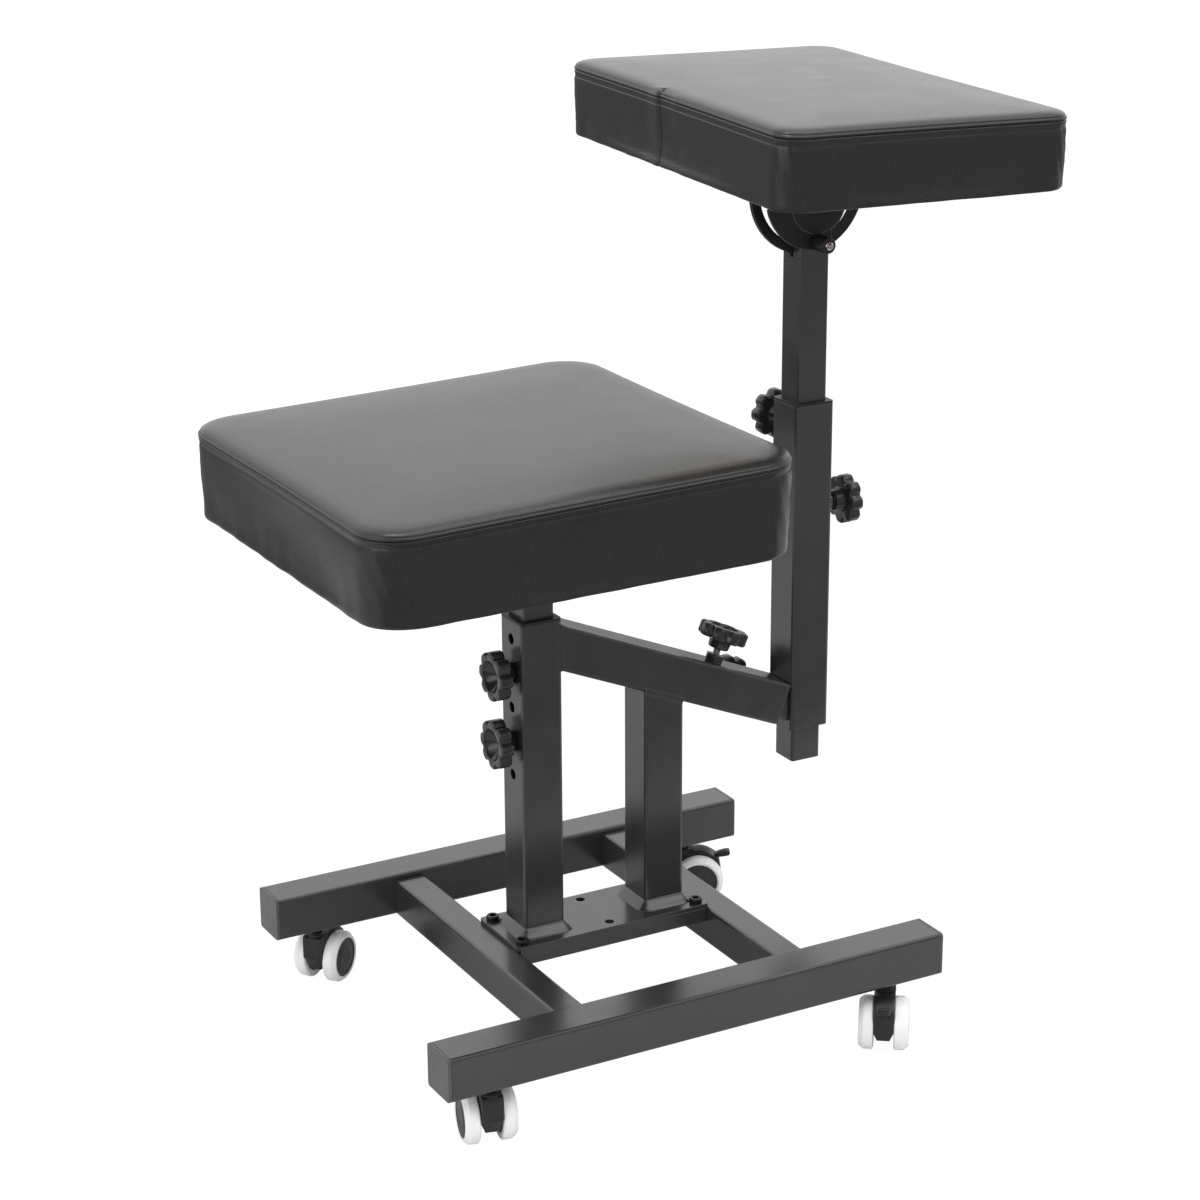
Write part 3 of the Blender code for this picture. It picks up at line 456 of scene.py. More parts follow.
def frozen(holder, name, material):
    # the evaluated result as a plain mesh, without the modifier
    depsgraph = bpy.context.evaluated_depsgraph_get()
    mesh = bpy.data.meshes.new_from_object(holder.evaluated_get(depsgraph))
    mesh.name = name
    bpy.data.objects.remove(holder)
    mesh.materials.clear()
    return linked(name, mesh, material)


def grown(name, mesh, tree, inputs, material):
    # runs a tree on a mesh of paths or points, each input set by its identifier
    holder = bpy.data.objects.new(name + "Holder", mesh)
    scene.collection.objects.link(holder)
    change = holder.modifiers.new("copies", "NODES")
    change.node_group, sockets = tree
    for label, value in {**inputs, "Finish": material}.items():
        change[sockets[label]] = value
    return frozen(holder, name, material)


def beadRow(name, paths, tree, values, material):
    # beads along closed paths
    points, edges = [], []
    for path in paths:
        start, count = len(points), len(path)
        points += [tuple(point) for point in path]
        edges += [(start + k, start + (k + 1) % count) for k in range(count)]
    mesh = bpy.data.meshes.new(name + "Path")
    mesh.from_pydata(points, edges, [])
    return grown(name, mesh, tree, values, material)


def scattered(name, shape, spots, material):
    mesh = bpy.data.meshes.new(name + "Spots")
    mesh.from_pydata([tuple(place) for place, turn in spots], [], [])
    turns = mesh.attributes.new("turn", "FLOAT_VECTOR", "POINT")
    for index, (place, turn) in enumerate(spots):
        turns.data[index].vector = turn
    pattern = bpy.data.objects.new(name + "Shape", shape)
    scene.collection.objects.link(pattern)
    made = grown(name, mesh, scatter, {"Shape": pattern}, material)
    bpy.data.objects.remove(pattern)
    return made


stitchRow = rowTree("stitchRow", {"segments": 8, "rings": 5, "vary": 0.06, "seed": 3})
weldRow = rowTree("weldRow", {"segments": 10, "rings": 6, "vary": 0.16, "seed": 11})
scatter = scatterTree("scatter")
print("node trees made")


# Cushions: a foam block swollen by cloth pressure, then the sewn cover drawn over it

def padColumns(values):
    # where each column of the cover starts: on a corner or along a side
    columns = []
    turns = values["cornerSteps"]
    for quarter in range(4):
        columns += [("corner", quarter, step / turns) for step in range(turns + 1)]
        run = values["length"] if quarter % 2 == 0 else values["width"]
        count = int((run - 2 * values["corner"]) / values["spacing"])
        steps = [step / count for step in range(1, count)]
        if quarter == 1 and values["lap"]:
            steps += [values["lap"] + step for step in values["lapColumns"]]
        columns += [("side", quarter, step) for step in sorted(steps)]
    return columns


def padPoint(values, column, inset, draw):
    # a column's place in plan, with the outline inset and its sides drawn in between the corners
    halfX = values["length"] / 2 - inset
    halfY = values["width"] / 2 - inset
    corner = values["corner"]
    radius = min(max(corner - inset * 0.5, corner * 0.4), halfX * 0.7, halfY * 0.7)
    kind, quarter, step = column

    def cornerPoint(which, t):
        right, up = ((1, 1), (-1, 1), (-1, -1), (1, -1))[which % 4]
        angle = (which + t) * math.pi / 2
        return Vector((right * (halfX - radius) + radius * math.cos(angle),
                       up * (halfY - radius) + radius * math.sin(angle)))

    if kind == "corner":
        return cornerPoint(quarter, step)
    normal = Vector(((0, 1), (-1, 0), (0, -1), (1, 0))[quarter])
    inward = draw * math.sin(math.pi * step)
    return cornerPoint(quarter, 1).lerp(cornerPoint(quarter + 1, 0), step) - normal * inward


def padLevels(values):
    # height, inset, draw and groove of each ring, from the hem under the board to the middle of the top
    seam, crown, tuck, drop = (values[key] for key in ("seam", "crown", "tuck", "drop"))
    hem = tuck + values["hem"]
    below = [(0.0004, hem, 0.0), (-drop * 0.1, hem - 0.004, 0.0), (-drop * 0.8, tuck + 0.0060, 0.0),
             (-drop, tuck + 0.0026, 0.0), (0.0004 - drop, tuck + 0.0011, 0.10),
             (0.0013 - drop, tuck + 0.0004, 0.15), (0.0030 - drop, tuck, 0.25)]
    foot, head = 0.0070 - drop, seam - 0.0105
    for k in range(values["bandRows"] + 1):
        t = k / values["bandRows"]
        below.append((foot + (head - foot) * t, tuck * (1 - smooth(0, 1, t)),
                      0.6 + 0.4 * math.sin(math.pi * t)))
    above = [(seam + step, inset, 0.38) for step, inset in values["shoulder"]]
    lift, edge = values["shoulder"][-1]
    reach = min(values["length"], values["width"]) / 2
    for k in range(1, 20):
        t = k / 19.6
        climb = 1 - (1 - t) ** values["fullness"]
        above.append((seam + lift + (crown - lift) * climb, edge + (reach - edge) * (1 - (1 - t) ** 1.25),
                      0.3 * (1 - t)))
    levels = [(*row, 0.0) for row in below]
    levels += [(seam + step, 0.0, 0.4, groove) for step, groove in values["seamLine"]]
    levels += [(*row, 0.0) for row in above]
    return [(height, inset, amount * values["draw"], groove) for height, inset, amount, groove in levels]


def foamSurface(name, values, columns, levels):
    # the block under the cover: remeshed, swollen by pressure, its move capped
    shrink, cap = values["shrink"], values["cap"]
    rings = []
    for height, inset, amount, groove in levels[::2]:
        level = max(height - shrink * smooth(0.0, values["seam"], height), -values["drop"] * 0.5)
        rings.append([(*padPoint(values, column, inset + shrink, amount), level) for column in columns[::2]])
    block = shaped(name + "Block", loft(rings), cover)
    remesh = block.modifiers.new("remesh", "REMESH")
    remesh.mode = "VOXEL"
    remesh.voxel_size = values["voxel"]
    foam = frozen(block, name + "Foam", cover)
    rest = [vertex.co.copy() for vertex in foam.data.vertices]
    size, line = len(columns), values["seam"] - shrink
    strip = [Vector((*padPoint(values, column, shrink, 0.0), height))
             for height in (line - 0.004, line + 0.004) for column in columns]
    after = [(k + 1) % size for k in range(size)]
    outline = BVHTree.FromPolygons(strip, [(k, after[k], size + after[k], size + k) for k in range(size)])
    still = [k for k, spot in enumerate(rest)
             if spot.z < values["holdBelow"] or outline.find_nearest(spot, values["holdSeam"])[0]]
    foam.vertex_groups.new(name="held").add(still, 1.0, "REPLACE")
    cloth = foam.modifiers.new("cloth", "CLOTH")
    for key, value in values["cloth"].items():
        setattr(cloth.settings, key, value)
    cloth.settings.effector_weights.gravity = 0.0
    cloth.point_cache.frame_start = 1
    cloth.point_cache.frame_end = values["frames"]
    for number in range(1, values["frames"] + 1):
        scene.frame_set(number)
    swollen = frozen(foam, name + "Swollen", cover)
    scene.frame_set(1)
    largest = 0.0
    for vertex, start in zip(swollen.data.vertices, rest):
        move = vertex.co - start
        largest = max(largest, move.length)
        if move.length > cap:
            vertex.co = start + move.normalized() * cap
    surface = BVHTree.FromPolygons([vertex.co for vertex in swollen.data.vertices],
                                   [polygon.vertices for polygon in swollen.data.polygons])
    bpy.data.objects.remove(swollen)
    print(name, "swelled by up to", round(largest * 1000, 1), "mm, capped at", cap * 1000)
    return surface


def evened(grid, passes):
    # blends each value with its neighbours, round the pad and up its side
    rows, size = len(grid), len(grid[0])
    for number in range(passes):
        grid = [[(grid[r][c] * 2 + grid[r][c - 1] + grid[r][(c + 1) % size] + grid[max(r - 1, 0)][c]
                  + grid[min(r + 1, rows - 1)][c]) / 6 for c in range(size)] for r in range(rows)]
    return grid


def creases(values, column, point, height):
    # gathers at the hem and corners, the lapped joint of the band, and slack in the top
    kind, quarter, step = column
    seam, slack, lap = values["seam"], values["slack"], values["lap"]
    hem = 1 - smooth(0.006, 0.040, height)
    band = smooth(0.004, 0.020, height) * (1 - smooth(seam - 0.012, seam - 0.002, height))
    top = smooth(seam + 0.002, seam + 0.006, height)
    amount = slack["hem"] * hem * noise.noise(Vector((point.x, point.y, height * 0.3)) * 42)
    amount += slack["band"] * band * noise.noise(Vector((point.x, point.y, height)) * 20 + Vector((3, 1, 4)))
    if kind == "corner":
        pull = math.sin(math.pi * step)
        amount += slack["pleat"] * pull * band * math.sin(step * 26 + height * 160)
        amount -= slack["pull"] * pull * hem
    amount += slack["top"] * top * noise.noise(Vector((point.x, point.y, 0.0)) * 9 + Vector((7, 2, 1)))
    if kind == "side" and quarter == 1 and lap:
        fold = smooth(lap - 0.001, lap + 0.0012, step)
        over = smooth(lap - 0.070, lap - 0.006, step) * (1 - fold)
        under = fold * (1 - smooth(lap + 0.050, lap + 0.090, step))
        side = 1 - smooth(seam + 0.0066, seam + 0.0074, height)
        amount += (slack["over"] * over - slack["under"] * under) * side
    return amount


def sewnPad(name, values):
    columns = padColumns(values)
    levels = padLevels(values)
    surface = foamSurface(name, values, columns, levels)
    centre = footOf(values["node"])
    skew = Matrix.Rotation(math.radians(values["skew"]), 3, "Z")
    seam = values["seam"]
    rows, swells = [], []
    for height, inset, amount, groove in levels:
        tilt = smooth(seam + 0.001, seam + 0.006, height)
        rows.append([])
        swells.append([])
        for column in columns:
            flat = padPoint(values, column, inset, amount)
            out = (flat - padPoint(values, column, inset + 0.004, amount)).normalized()
            point = Vector((flat.x, flat.y, height))
            normal = Vector((out.x * (1 - tilt), out.y * (1 - tilt), tilt)).normalized()
            if surface:
                swell = (surface.find_nearest(point)[0] - point).dot(normal)
                swell = max(min(swell, 0.006), -0.004) + values["shrink"]
            else:
                bulge = math.sin(math.pi * min(height / seam, 1.0))
                swell = values["swell"] * (bulge * (1 - tilt) + 0.4 * tilt)
            rows[-1].append((column, point, normal))
            swells[-1].append(swell * smooth(0.004, 0.020, height))
    if surface:
        swells = evened(swells, values["evening"])
    rings = []
    for (height, inset, amount, groove), row, swellRow in zip(levels, rows, swells):
        ring = []
        for (column, point, normal), swell in zip(row, swellRow):
            spot = point + normal * (swell - groove + creases(values, column, point, height))
            spot.z += values["slope"] * spot.x * (0.5 + 0.5 * smooth(0, seam, height))
            ring.append(centre + skew @ spot)
        rings.append(ring)
    pad = shaped(name, loft(rings), cover, 60)
    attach(pad, values["body"])
    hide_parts(values["node"])
    sewnAt = seam - values["stitchDown"]
    nearest = min(range(len(levels)), key=lambda k: abs(levels[k][0] - sewnAt))
    row = beadRow(name + "Stitches", [rings[nearest]], stitchRow, values["stitch"], thread)
    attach(row, values["body"])


sewn = {
    "draw": 0.004, "fullness": 2.6, "spacing": 0.0048, "cornerSteps": 14, "bandRows": 11, "hem": 0.016,
    "lapColumns": (-0.009, -0.006, -0.004, -0.002, 0.002, 0.004, 0.006, 0.009),
    "seamLine": (      # height from the seam, and depth of the groove there
        (-0.0084, 0.0003), (-0.0077, 0.0004), (-0.0073, 0.0006), (-0.0070, 0.0007), (-0.0067, 0.0006),
        (-0.0063, 0.0004), (-0.0055, 0.0002), (-0.0044, -0.0001), (-0.0032, -0.0004), (-0.0022, -0.0006),
        (-0.0016, -0.0005), (-0.0012, 0.0), (-0.0009, 0.0005), (-0.0006, 0.0001), (-0.0002, -0.0006),
        (0.0004, -0.0010), (0.0011, -0.0009), (0.0018, -0.0004), (0.0024, 0.0001)),
    "shoulder": (      # height from the seam, and inset of the rounded edge there
        (0.0030, 0.0005), (0.0040, 0.0009), (0.0050, 0.0018), (0.0059, 0.0033), (0.0066, 0.0054),
        (0.0071, 0.0080), (0.0074, 0.0112)),
    "slack": {"hem": 0.0013, "band": 0.0004, "pleat": 0.0007, "pull": 0.0012, "top": 0.0001,
              "over": 0.0013, "under": 0.0007},
    "shrink": 0.003, "voxel": 0.005, "holdBelow": 0.012, "holdSeam": 0.0045, "frames": 20, "cap": 0.007,
    "cloth": {"vertex_group_mass": "held", "use_pressure": True, "uniform_pressure_force": 0.2, "quality": 6,
              "mass": 0.35, "tension_stiffness": 40.0, "compression_stiffness": 40.0, "shear_stiffness": 20.0,
              "bending_stiffness": 3.0},
    "evening": 24, "swell": 0.0012, "fill": 0.85, "stitchDown": 0.0070,
    "stitch": {"Pitch": 0.0042, "Length": 0.0032, "Width": 0.0009, "Height": 0.0009}}
sewnPad("seatPad", {
    **sewn, "node": "seat_cushion", "body": "seat", "length": 0.415, "width": 0.417, "corner": 0.042,
    "seam": 0.0797, "crown": 0.0085, "tuck": 0.001, "drop": 0.0004, "lap": 0.0, "skew": 0.0, "slope": 0.026})
sewnPad("restPad", {
    **sewn, "node": "rest_cushion", "body": "rest", "length": 0.286, "width": 0.453, "corner": 0.024,
    "seam": 0.0617, "crown": 0.0082, "tuck": 0.0, "drop": 0.0010, "lap": 0.441, "skew": -4.8,
    "slope": -0.013})
print("cushions sewn")


# Star knobs on their studs

def starKnob(name, values):
    joint = joints[name + "_turn"]
    place = standing(joint["pos_m"], joint["axis"])
    stand, lobes, depth, edge = (values[key] for key in ("stand", "lobes", "depth", "edge"))
    half, hub, cup, shank = (values[key] / 2 for key in ("width", "hub", "cup", "stud"))
    count = lobes * values["lobeSteps"]

    def star(radius, amount, height):
        points = []
        for k in range(count):
            angle = math.tau * k / count
            wave = 0.5 - 0.5 * math.cos(lobes * angle)
            out = radius - amount * wave ** values["notch"]
            points.append((out * math.cos(angle), out * math.sin(angle), height))
        return points

    back = stand + values["hubLength"]
    front = back + values["head"]
    deep = values["cupDepth"]
    rows = [(hub * 0.80, 0, stand), (hub * 0.88, 0, stand + 0.0004), (hub * 0.92, 0, stand + 0.0014),
            (hub, 0, back - 0.0012), (hub + 0.0010, 0, back - 0.0002), (hub + 0.0024, 0, back),
            (half - edge * 2.2, depth * 0.8, back), (half - edge, depth, back + edge * 0.10),
            (half - edge * 0.35, depth, back + edge * 0.42), (half, depth, back + edge * 1.1),
            (half, depth, front - edge * 1.1), (half - edge * 0.35, depth, front - edge * 0.42),
            (half - edge, depth, front - edge * 0.08), (half - edge * 1.8, depth * 0.95, front),
            (cup + 0.0008, 0, front), (cup + 0.0002, 0, front - 0.0003), (cup, 0, front - 0.0010),
            (cup * 0.93, 0, front - deep * 0.25), (cup * 0.52, 0, front - deep * 0.85),
            (cup * 0.40, 0, front - deep), (cup * 0.15, 0, front - deep)]
    knob = shaped(name + "Head", moved(loft([star(*row) for row in rows]), place), knobGloss, 50)
    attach(knob, name)
    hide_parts(name)
    sunk = values["depthIn"]
    profile = [(shank * 0.8, -sunk)]
    profile += threads(shank - threadLook["depth"], shank, -sunk + 0.0004, stand + 0.0012)
    stud = shaped(name + "Stud", moved(turned(profile, 32), place), steel, 70)
    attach(stud, name)


knobLook = {"lobes": 8, "lobeSteps": 14, "depth": 0.0042, "notch": 2.4, "width": 0.048, "head": 0.013,
            "edge": 0.0018, "hub": 0.022, "hubLength": 0.009, "cup": 0.030, "cupDepth": 0.0105,
            "stud": 0.0076, "depthIn": 0.0044}
for name in ("seat_knob_upper", "seat_knob_lower"):
    starKnob(name, {**knobLook, "stand": 0.0003})
for name in ("arm_knob_top", "arm_knob_side", "rest_knob_front", "rest_knob_side"):
    starKnob(name, {**knobLook, "stand": 0.013})
print("knobs made")


# Tilt head: the round clamp nut and the bright bolt through it

def clampNut(values):
    joint = joints["tilt_clamp_nut_turn"]
    place = standing(joint["pos_m"], joint["axis"])
    rim, bore, shank = (values[key] / 2 for key in ("width", "bore", "bolt"))
    length = values["length"]
    profile = softened([(bore, 0.0004), (rim, 0.0004), (rim, length), (rim - 0.002, length + 0.0003),
                        (bore, length + 0.0003)], 0.0012, 4, True)
    nut = shaped("clampNut", moved(turned(profile, 48, True), place), moulded)
    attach(nut, "tilt_clamp_nut")
    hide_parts("tilt_clamp_nut")
    low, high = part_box("tilt_lock_bolt")
    tip = -(low.y - joint["pos_m"][1])      # the bolt's two ends along the nut's axis
    head = -(high.y - joint["pos_m"][1])
    profile = [(shank * 0.20, tip), (shank * 0.52, tip), (shank * 0.62, tip - 0.0003),
               (shank * 0.62, tip - 0.0018), (shank * 0.94, tip - 0.0026)]
    profile += threads(shank, shank - 0.0005, tip - 0.0030, length - 0.004)
    profile += [(shank, length - 0.006), (shank, head + 0.0046), (shank * 1.6, head + 0.0046),
                (shank * 1.6, head + 0.0008), (shank * 1.4, head), (shank * 0.2, head)]
    bolt = shaped("lockBolt", moved(turned(profile, 32), place), steel)
    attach(bolt, "rest_slide")
    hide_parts("tilt_lock_bolt")


clampNut({"width": 0.015, "bore": 0.0086, "length": 0.020, "bolt": 0.008})
print("tilt clamp made")


# Casters: hooded body, two wheels with pale treads, stem, and a brake lever on the front ones

def casterOutline(values, guard, inset):
    # side view: hood over the wheels, neck under the stem
    trail, axle, bend = values["trail"], values["wheel"] / 2, values["wheel"] * 0.6
    hood, neck = values["hood"] - inset, values["neck"] - inset
    recede, crest = values["recede"], 0.004
    low = math.asin((guard - axle) / (hood - recede))
    top = axle + hood
    points = []
    for k in range(37):
        angle = low + (math.pi / 2 - low) * k / 36
        radius = hood - recede * (1 - smooth(0.30, 0.75, angle))
        points.append((trail + radius * math.cos(angle), axle + radius * math.sin(angle)))
    points += arcPoints((-neck + crest, top - crest), crest, math.pi / 2, math.pi, 8)
    points += [(-neck, bend + (top - crest - bend) * (1 - k / 6)) for k in range(1, 7)]
    points += [(-neck + neck * 0.55 * k / 6, bend + (guard - bend) * k / 6) for k in range(1, 7)]
    return points


def hoodRidge(values, side):
    # a fine rib along the hood's back
    first, last, steps = 1.62, 0.30, 24
    line = []
    for k in range(steps + 1):
        angle = first + (last - first) * k / steps
        radius = values["hood"] + 0.0007 * math.sin(math.pi * k / steps)
        line.append((values["trail"] + radius * math.cos(angle), side,
                     values["wheel"] / 2 + radius * math.sin(angle)))
    return tubeAlong(line, 0.0009)


def caster(label, values):
    swivel = joints["caster_" + label + "_swivel"]["pos_m"]
    at = Matrix.Translation(Vector((swivel[0], swivel[1], 0.0)))
    place = at @ Matrix.Rotation(values["heading"], 4, "Z")
    half, axle = values["width"] / 2, values["wheel"] / 2
    slices = [(half, axle, 0.0009), (half - 0.0003, axle, 0.0003), (half - 0.0010, axle - 0.001, 0.0),
              (half - values["taper"], values["guard"], 0.0)]
    slices = [(-side, guard, inset) for side, guard, inset in slices] + slices[::-1]
    rings = [[(u, side, v) for u, v in casterOutline(values, guard, inset)] for side, guard, inset in slices]
    hole, neck, top = values["stem"] / 2 + 0.0006, values["neck"], values["top"]
    lip = [(hole, top - 0.002), (neck - 0.0012, top - 0.002), (neck - 0.0016, top + 0.0016),
           (hole, top + 0.0016)]
    collar = turned(softened(lip, 0.0006, 3, True), 40, True)
    parts = [loft(rings), collar]
    if not values["brake"]:
        parts += [hoodRidge(values, side) for side in (-0.0056, 0.0056)]
    shell = shaped("casterHood_" + label, moved(merged(*parts), place), moulded)
    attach(shell, "caster_" + label)
    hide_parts("caster_body_" + label)
    casterStem(label, values, at)
    for hand in ("right", "left"):
        wheel("caster_wheel_" + label + "_" + hand, swivel, values)
    if values["brake"]:
        brakeLever(label, values, place)


def casterStem(label, values, at):
    # threaded stem with a collar under the rail
    low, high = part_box("caster_stem_" + label)
    under, shank = values["railUnder"], values["stem"] / 2
    profile = softened([(shank * 0.6, low.z), (shank, low.z + 0.001), (shank, under - 0.0030),
                        (shank * 1.75, under - 0.0030), (shank * 1.75, under - 0.0004),
                        (shank, under - 0.0004), (shank, under + 0.0026)], 0.0004, 2)
    profile += threads(shank, shank - threadLook["depth"], under + 0.0030, high.z - 0.0012)
    profile.append((shank * 0.7, high.z))
    stem = shaped("casterStem_" + label, moved(turned(profile, 36), at), steel)
    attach(stem, "base")
    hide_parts("caster_stem_" + label)


def wheel(name, swivel, values):
    low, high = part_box(name)
    centre = (low + high) / 2
    axis = Vector(joints[name + "_spin"]["axis"]).normalized()
    outward = axis if (centre - Vector((swivel[0], swivel[1], centre.z))).dot(axis) > 0 else -axis
    wide, radius, disc = values["wheelWidth"], values["wheel"] / 2, values["disc"] / 2
    face = centre - outward * wide / 2
    place = standing(Vector((face.x, face.y, radius)), outward)
    tyre = softened([(disc - 0.0015, 0.0006), (radius - 0.0020, 0.0002), (radius, wide * 0.10),
                     (radius, wide * 0.67), (radius - 0.0034, wide * 0.955), (disc + 0.0016, wide * 0.985),
                     (disc + 0.0003, wide * 0.975), (disc - 0.0015, wide * 0.90)], 0.0007, 3, True)
    tread = shaped(name + "Tread", moved(turned(tyre, 96, True), place), treadPale, 60)
    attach(tread, name)
    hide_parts(name)
    profile = [(0.0034, 0.0002), (disc - 0.0012, 0.0002), (disc - 0.0003, 0.0012),
               (disc - 0.0001, wide * 0.90), (disc - 0.0004, wide * 0.945), (disc - 0.0016, wide * 0.95),
               (disc - 0.0028, wide * 0.90), (disc * 0.62, wide * 0.94), (disc * 0.42, wide * 0.985),
               (disc * 0.36, wide * 0.95), (disc * 0.18, wide * 0.96), (disc * 0.05, wide * 0.965)]
    cap = shaped(name + "Disc", moved(turned(softened(profile, 0.0006, 3), 72), place), hubGrey)
    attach(cap, name)


def brakeLever(label, values, place):
    pivot = Vector(joints["brake_lever_" + label + "_press"]["pos_m"])
    reach, thick, wide = values["leverReach"], values["leverThick"], values["leverWidth"]
    steps, sides = 16, 24
    rings = []
    for k in range(steps + 1):
        t = k / steps
        along = -thick * 0.5 + (reach + thick) * t
        deep = thick / 2 * (0.72 + 0.28 * smooth(0.35, 0.8, t)) * (1 - 0.35 * smooth(0.9, 1.0, t))
        flare = wide / 2 * (0.58 + 0.42 * smooth(0.25, 0.62, t)) * (1 - 0.22 * smooth(0.92, 1.0, t))
        ring = []
        for u, v, level in ringAt(1.0, sides, 0):
            square = max(abs(u), abs(v)) ** 0.65      # between a round and a square section
            ring.append((along, flare * u / square, deep * v / square))
        rings.append(ring)
    ribs = []
    for k in range(4):
        along = reach * (0.52 + 0.13 * k)
        line = [(along, -wide * 0.36 + wide * 0.72 * s / 8, thick * 0.50) for s in range(9)]
        ribs.append(tubeAlong(line, 0.0006, 6))
    tilted = Matrix.Rotation(-math.radians(values["leverTilt"]), 4, "Y")
    seated = place @ Matrix.Translation(place.inverted() @ pivot) @ tilted
    lever = shaped("brakePedal_" + label, moved(merged(loft(rings), *ribs), seated), moulded)
    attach(lever, "brake_lever_" + label)
    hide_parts("brake_lever_" + label)


casterLook = {"wheel": 0.051, "wheelWidth": 0.0146, "disc": 0.040, "trail": 0.0155, "width": 0.020,
              "hood": 0.0287, "recede": 0.0045, "top": 0.0542, "guard": 0.0172, "taper": 0.004,
              "neck": 0.0118, "stem": 0.010, "railUnder": 0.065,
              "leverReach": 0.0195, "leverThick": 0.005, "leverWidth": 0.012, "leverTilt": 12}
for label, heading in (("near_rear", 77), ("far_rear", 38), ("near_front", -126), ("far_front", -29)):
    caster(label, {**casterLook, "heading": math.radians(heading), "brake": label.endswith("front")})
print("casters made")


# Bolts on the post plate

def plateBolts(values):
    names = ["plate_bolt_" + end for end in ("near_rear", "near_front", "far_rear", "far_front")]
    low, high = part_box(names[0])
    head, shank, across = (values[key] / 2 for key in ("head", "bolt", "socket"))
    tall, sides = values["height"], 48
    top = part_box("post_plate")[1].z + tall
    profile = softened([(shank, low.z - high.z), (shank, -tall), (head, -tall), (head, -tall * 0.22),
                        (head * 0.90, 0.0), (head * 0.62, 0.0)], 0.0005, 3)
    rings = [ringAt(radius, sides, height) for radius, height in profile]
    for scale, height in ((1.03, -0.0002), (0.98, -0.0006), (0.98, -tall * 0.6)):      # six-sided socket
        ring = []
        for k in range(sides):
            angle = math.tau * k / sides
            out = across / math.cos(angle % (math.pi / 3) - math.pi / 6) * scale
            ring.append((out * math.cos(angle), out * math.sin(angle), height))
        rings.append(ring)
    spots = []
    for name in names:
        foot = footOf(name)
        spots.append(((foot.x, foot.y, top), (0, 0, 0.4 * len(spots))))
    bolts = scattered("plateBolts", meshOf("boltShape", *loft(rings)), spots, blackSteel)
    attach(bolts, "base")
    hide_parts(*names)


plateBolts({"bolt": 0.006, "head": 0.0125, "height": 0.0046, "socket": 0.006})


# Screws and staples under the pads

def underScrews(name, body, values):
    low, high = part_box(values["plate"])
    head, tall, inset = values["head"] / 2, values["tall"], values["inset"]
    profile = softened([(head * 0.96, 0.0001), (head, -tall * 0.3), (head * 0.8, -tall * 0.85),
                        (head * 0.45, -tall)], 0.0004, 3)
    shape = meshOf(name + "Dome", *turned(profile[::-1], 28))
    spots = []
    for x in (low.x + inset, high.x - inset):
        for y in (low.y + inset, high.y - inset):
            spots.append(((x, y, low.z - 0.0001), (0, 0, 0.9 * len(spots))))
    screws = scattered(name, shape, spots, blackSteel)
    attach(screws, body)


def staples(name, body, values):
    middle = footOf(values["node"])
    skew = math.radians(values["skew"])
    turn = Matrix.Rotation(skew, 3, "Z")
    wire = tubeAlong([(-0.005, 0, 0.0008), (-0.005, 0, -0.0002), (-0.0046, 0, -0.0005), (0.0046, 0, -0.0005),
                      (0.005, 0, -0.0002), (0.005, 0, 0.0008)], 0.0004, 6)
    halfX = values["length"] / 2 - values["inset"]
    halfY = values["width"] / 2 - values["inset"]
    lean = values["lean"]
    spots = []
    for k in range(values["alongX"]):
        x = (-1 + 2 * (k + 0.5) / values["alongX"]) * (halfX - values["clear"])
        for way in (-1, 1):
            angle = skew + lean * math.sin(k * 7.3 + way)
            spots.append((middle + turn @ Vector((x, way * halfY, 0)), (0, 0, angle)))
    for k in range(values["alongY"]):
        y = (-1 + 2 * (k + 0.5) / values["alongY"]) * (halfY - values["clear"])
        for way in (-1, 1):
            angle = math.pi / 2 + skew + lean * math.sin(k * 5.1 + way)
            spots.append((middle + turn @ Vector((way * halfX, y, 0)), (0, 0, angle)))
    made = scattered(name, meshOf(name + "Wire", *wire), spots, steel)
    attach(made, body)


underScrews("seatScrews", "seat", {"plate": "seat_plate", "inset": 0.016, "head": 0.011, "tall": 0.0034})
underScrews("restScrews", "rest", {"plate": "rest_plate", "inset": 0.012, "head": 0.009, "tall": 0.0030})
stapled = {"clear": 0.03, "lean": 0.25}
staples("seatStaples", "seat", {**stapled, "node": "seat_cushion", "length": 0.415, "width": 0.417,
                                "inset": 0.0148, "alongX": 13, "alongY": 13, "skew": 0.0})
staples("restStaples", "rest", {**stapled, "node": "rest_cushion", "length": 0.288, "width": 0.455,
                                "inset": 0.0195, "alongX": 9, "alongY": 15, "skew": -4.8})
print("fasteners placed")


# Welds: beads and fillets at the feet of the posts, flush welds where the arm meets them

def squareLoop(centre, half, corner, height):
    points = []
    for quarter, (right, up) in enumerate(((1, 1), (-1, 1), (-1, -1), (1, -1))):
        spot = (centre[0] + right * (half - corner), centre[1] + up * (half - corner))
        points += [Vector((u, v, height)) for u, v in
                   arcPoints(spot, corner, quarter * math.pi / 2, (quarter + 1) * math.pi / 2, 4)]
    return points


def footWelds(values):
    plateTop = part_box("post_plate")[1].z
    half = values["tube"] / 2
    feet = [footOf(name) for name in ("seat_outer_tube", "support_post")]
    paths = [squareLoop(foot, half + 0.0018, 0.004, plateTop + 0.0020) for foot in feet]
    beads = beadRow("footWelds", paths, weldRow, values["bead"], coat)
    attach(beads, "base")
    skirts = []
    for foot in feet:
        rings = [squareLoop(foot, half + out, 0.003 + max(out, 0.0), plateTop + rise)
                 for out, rise in values["fillet"]]
        skirts.append(loft(rings, True))
    skirt = shaped("footFillets", merged(*skirts), coat, 70)
    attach(skirt, "base")


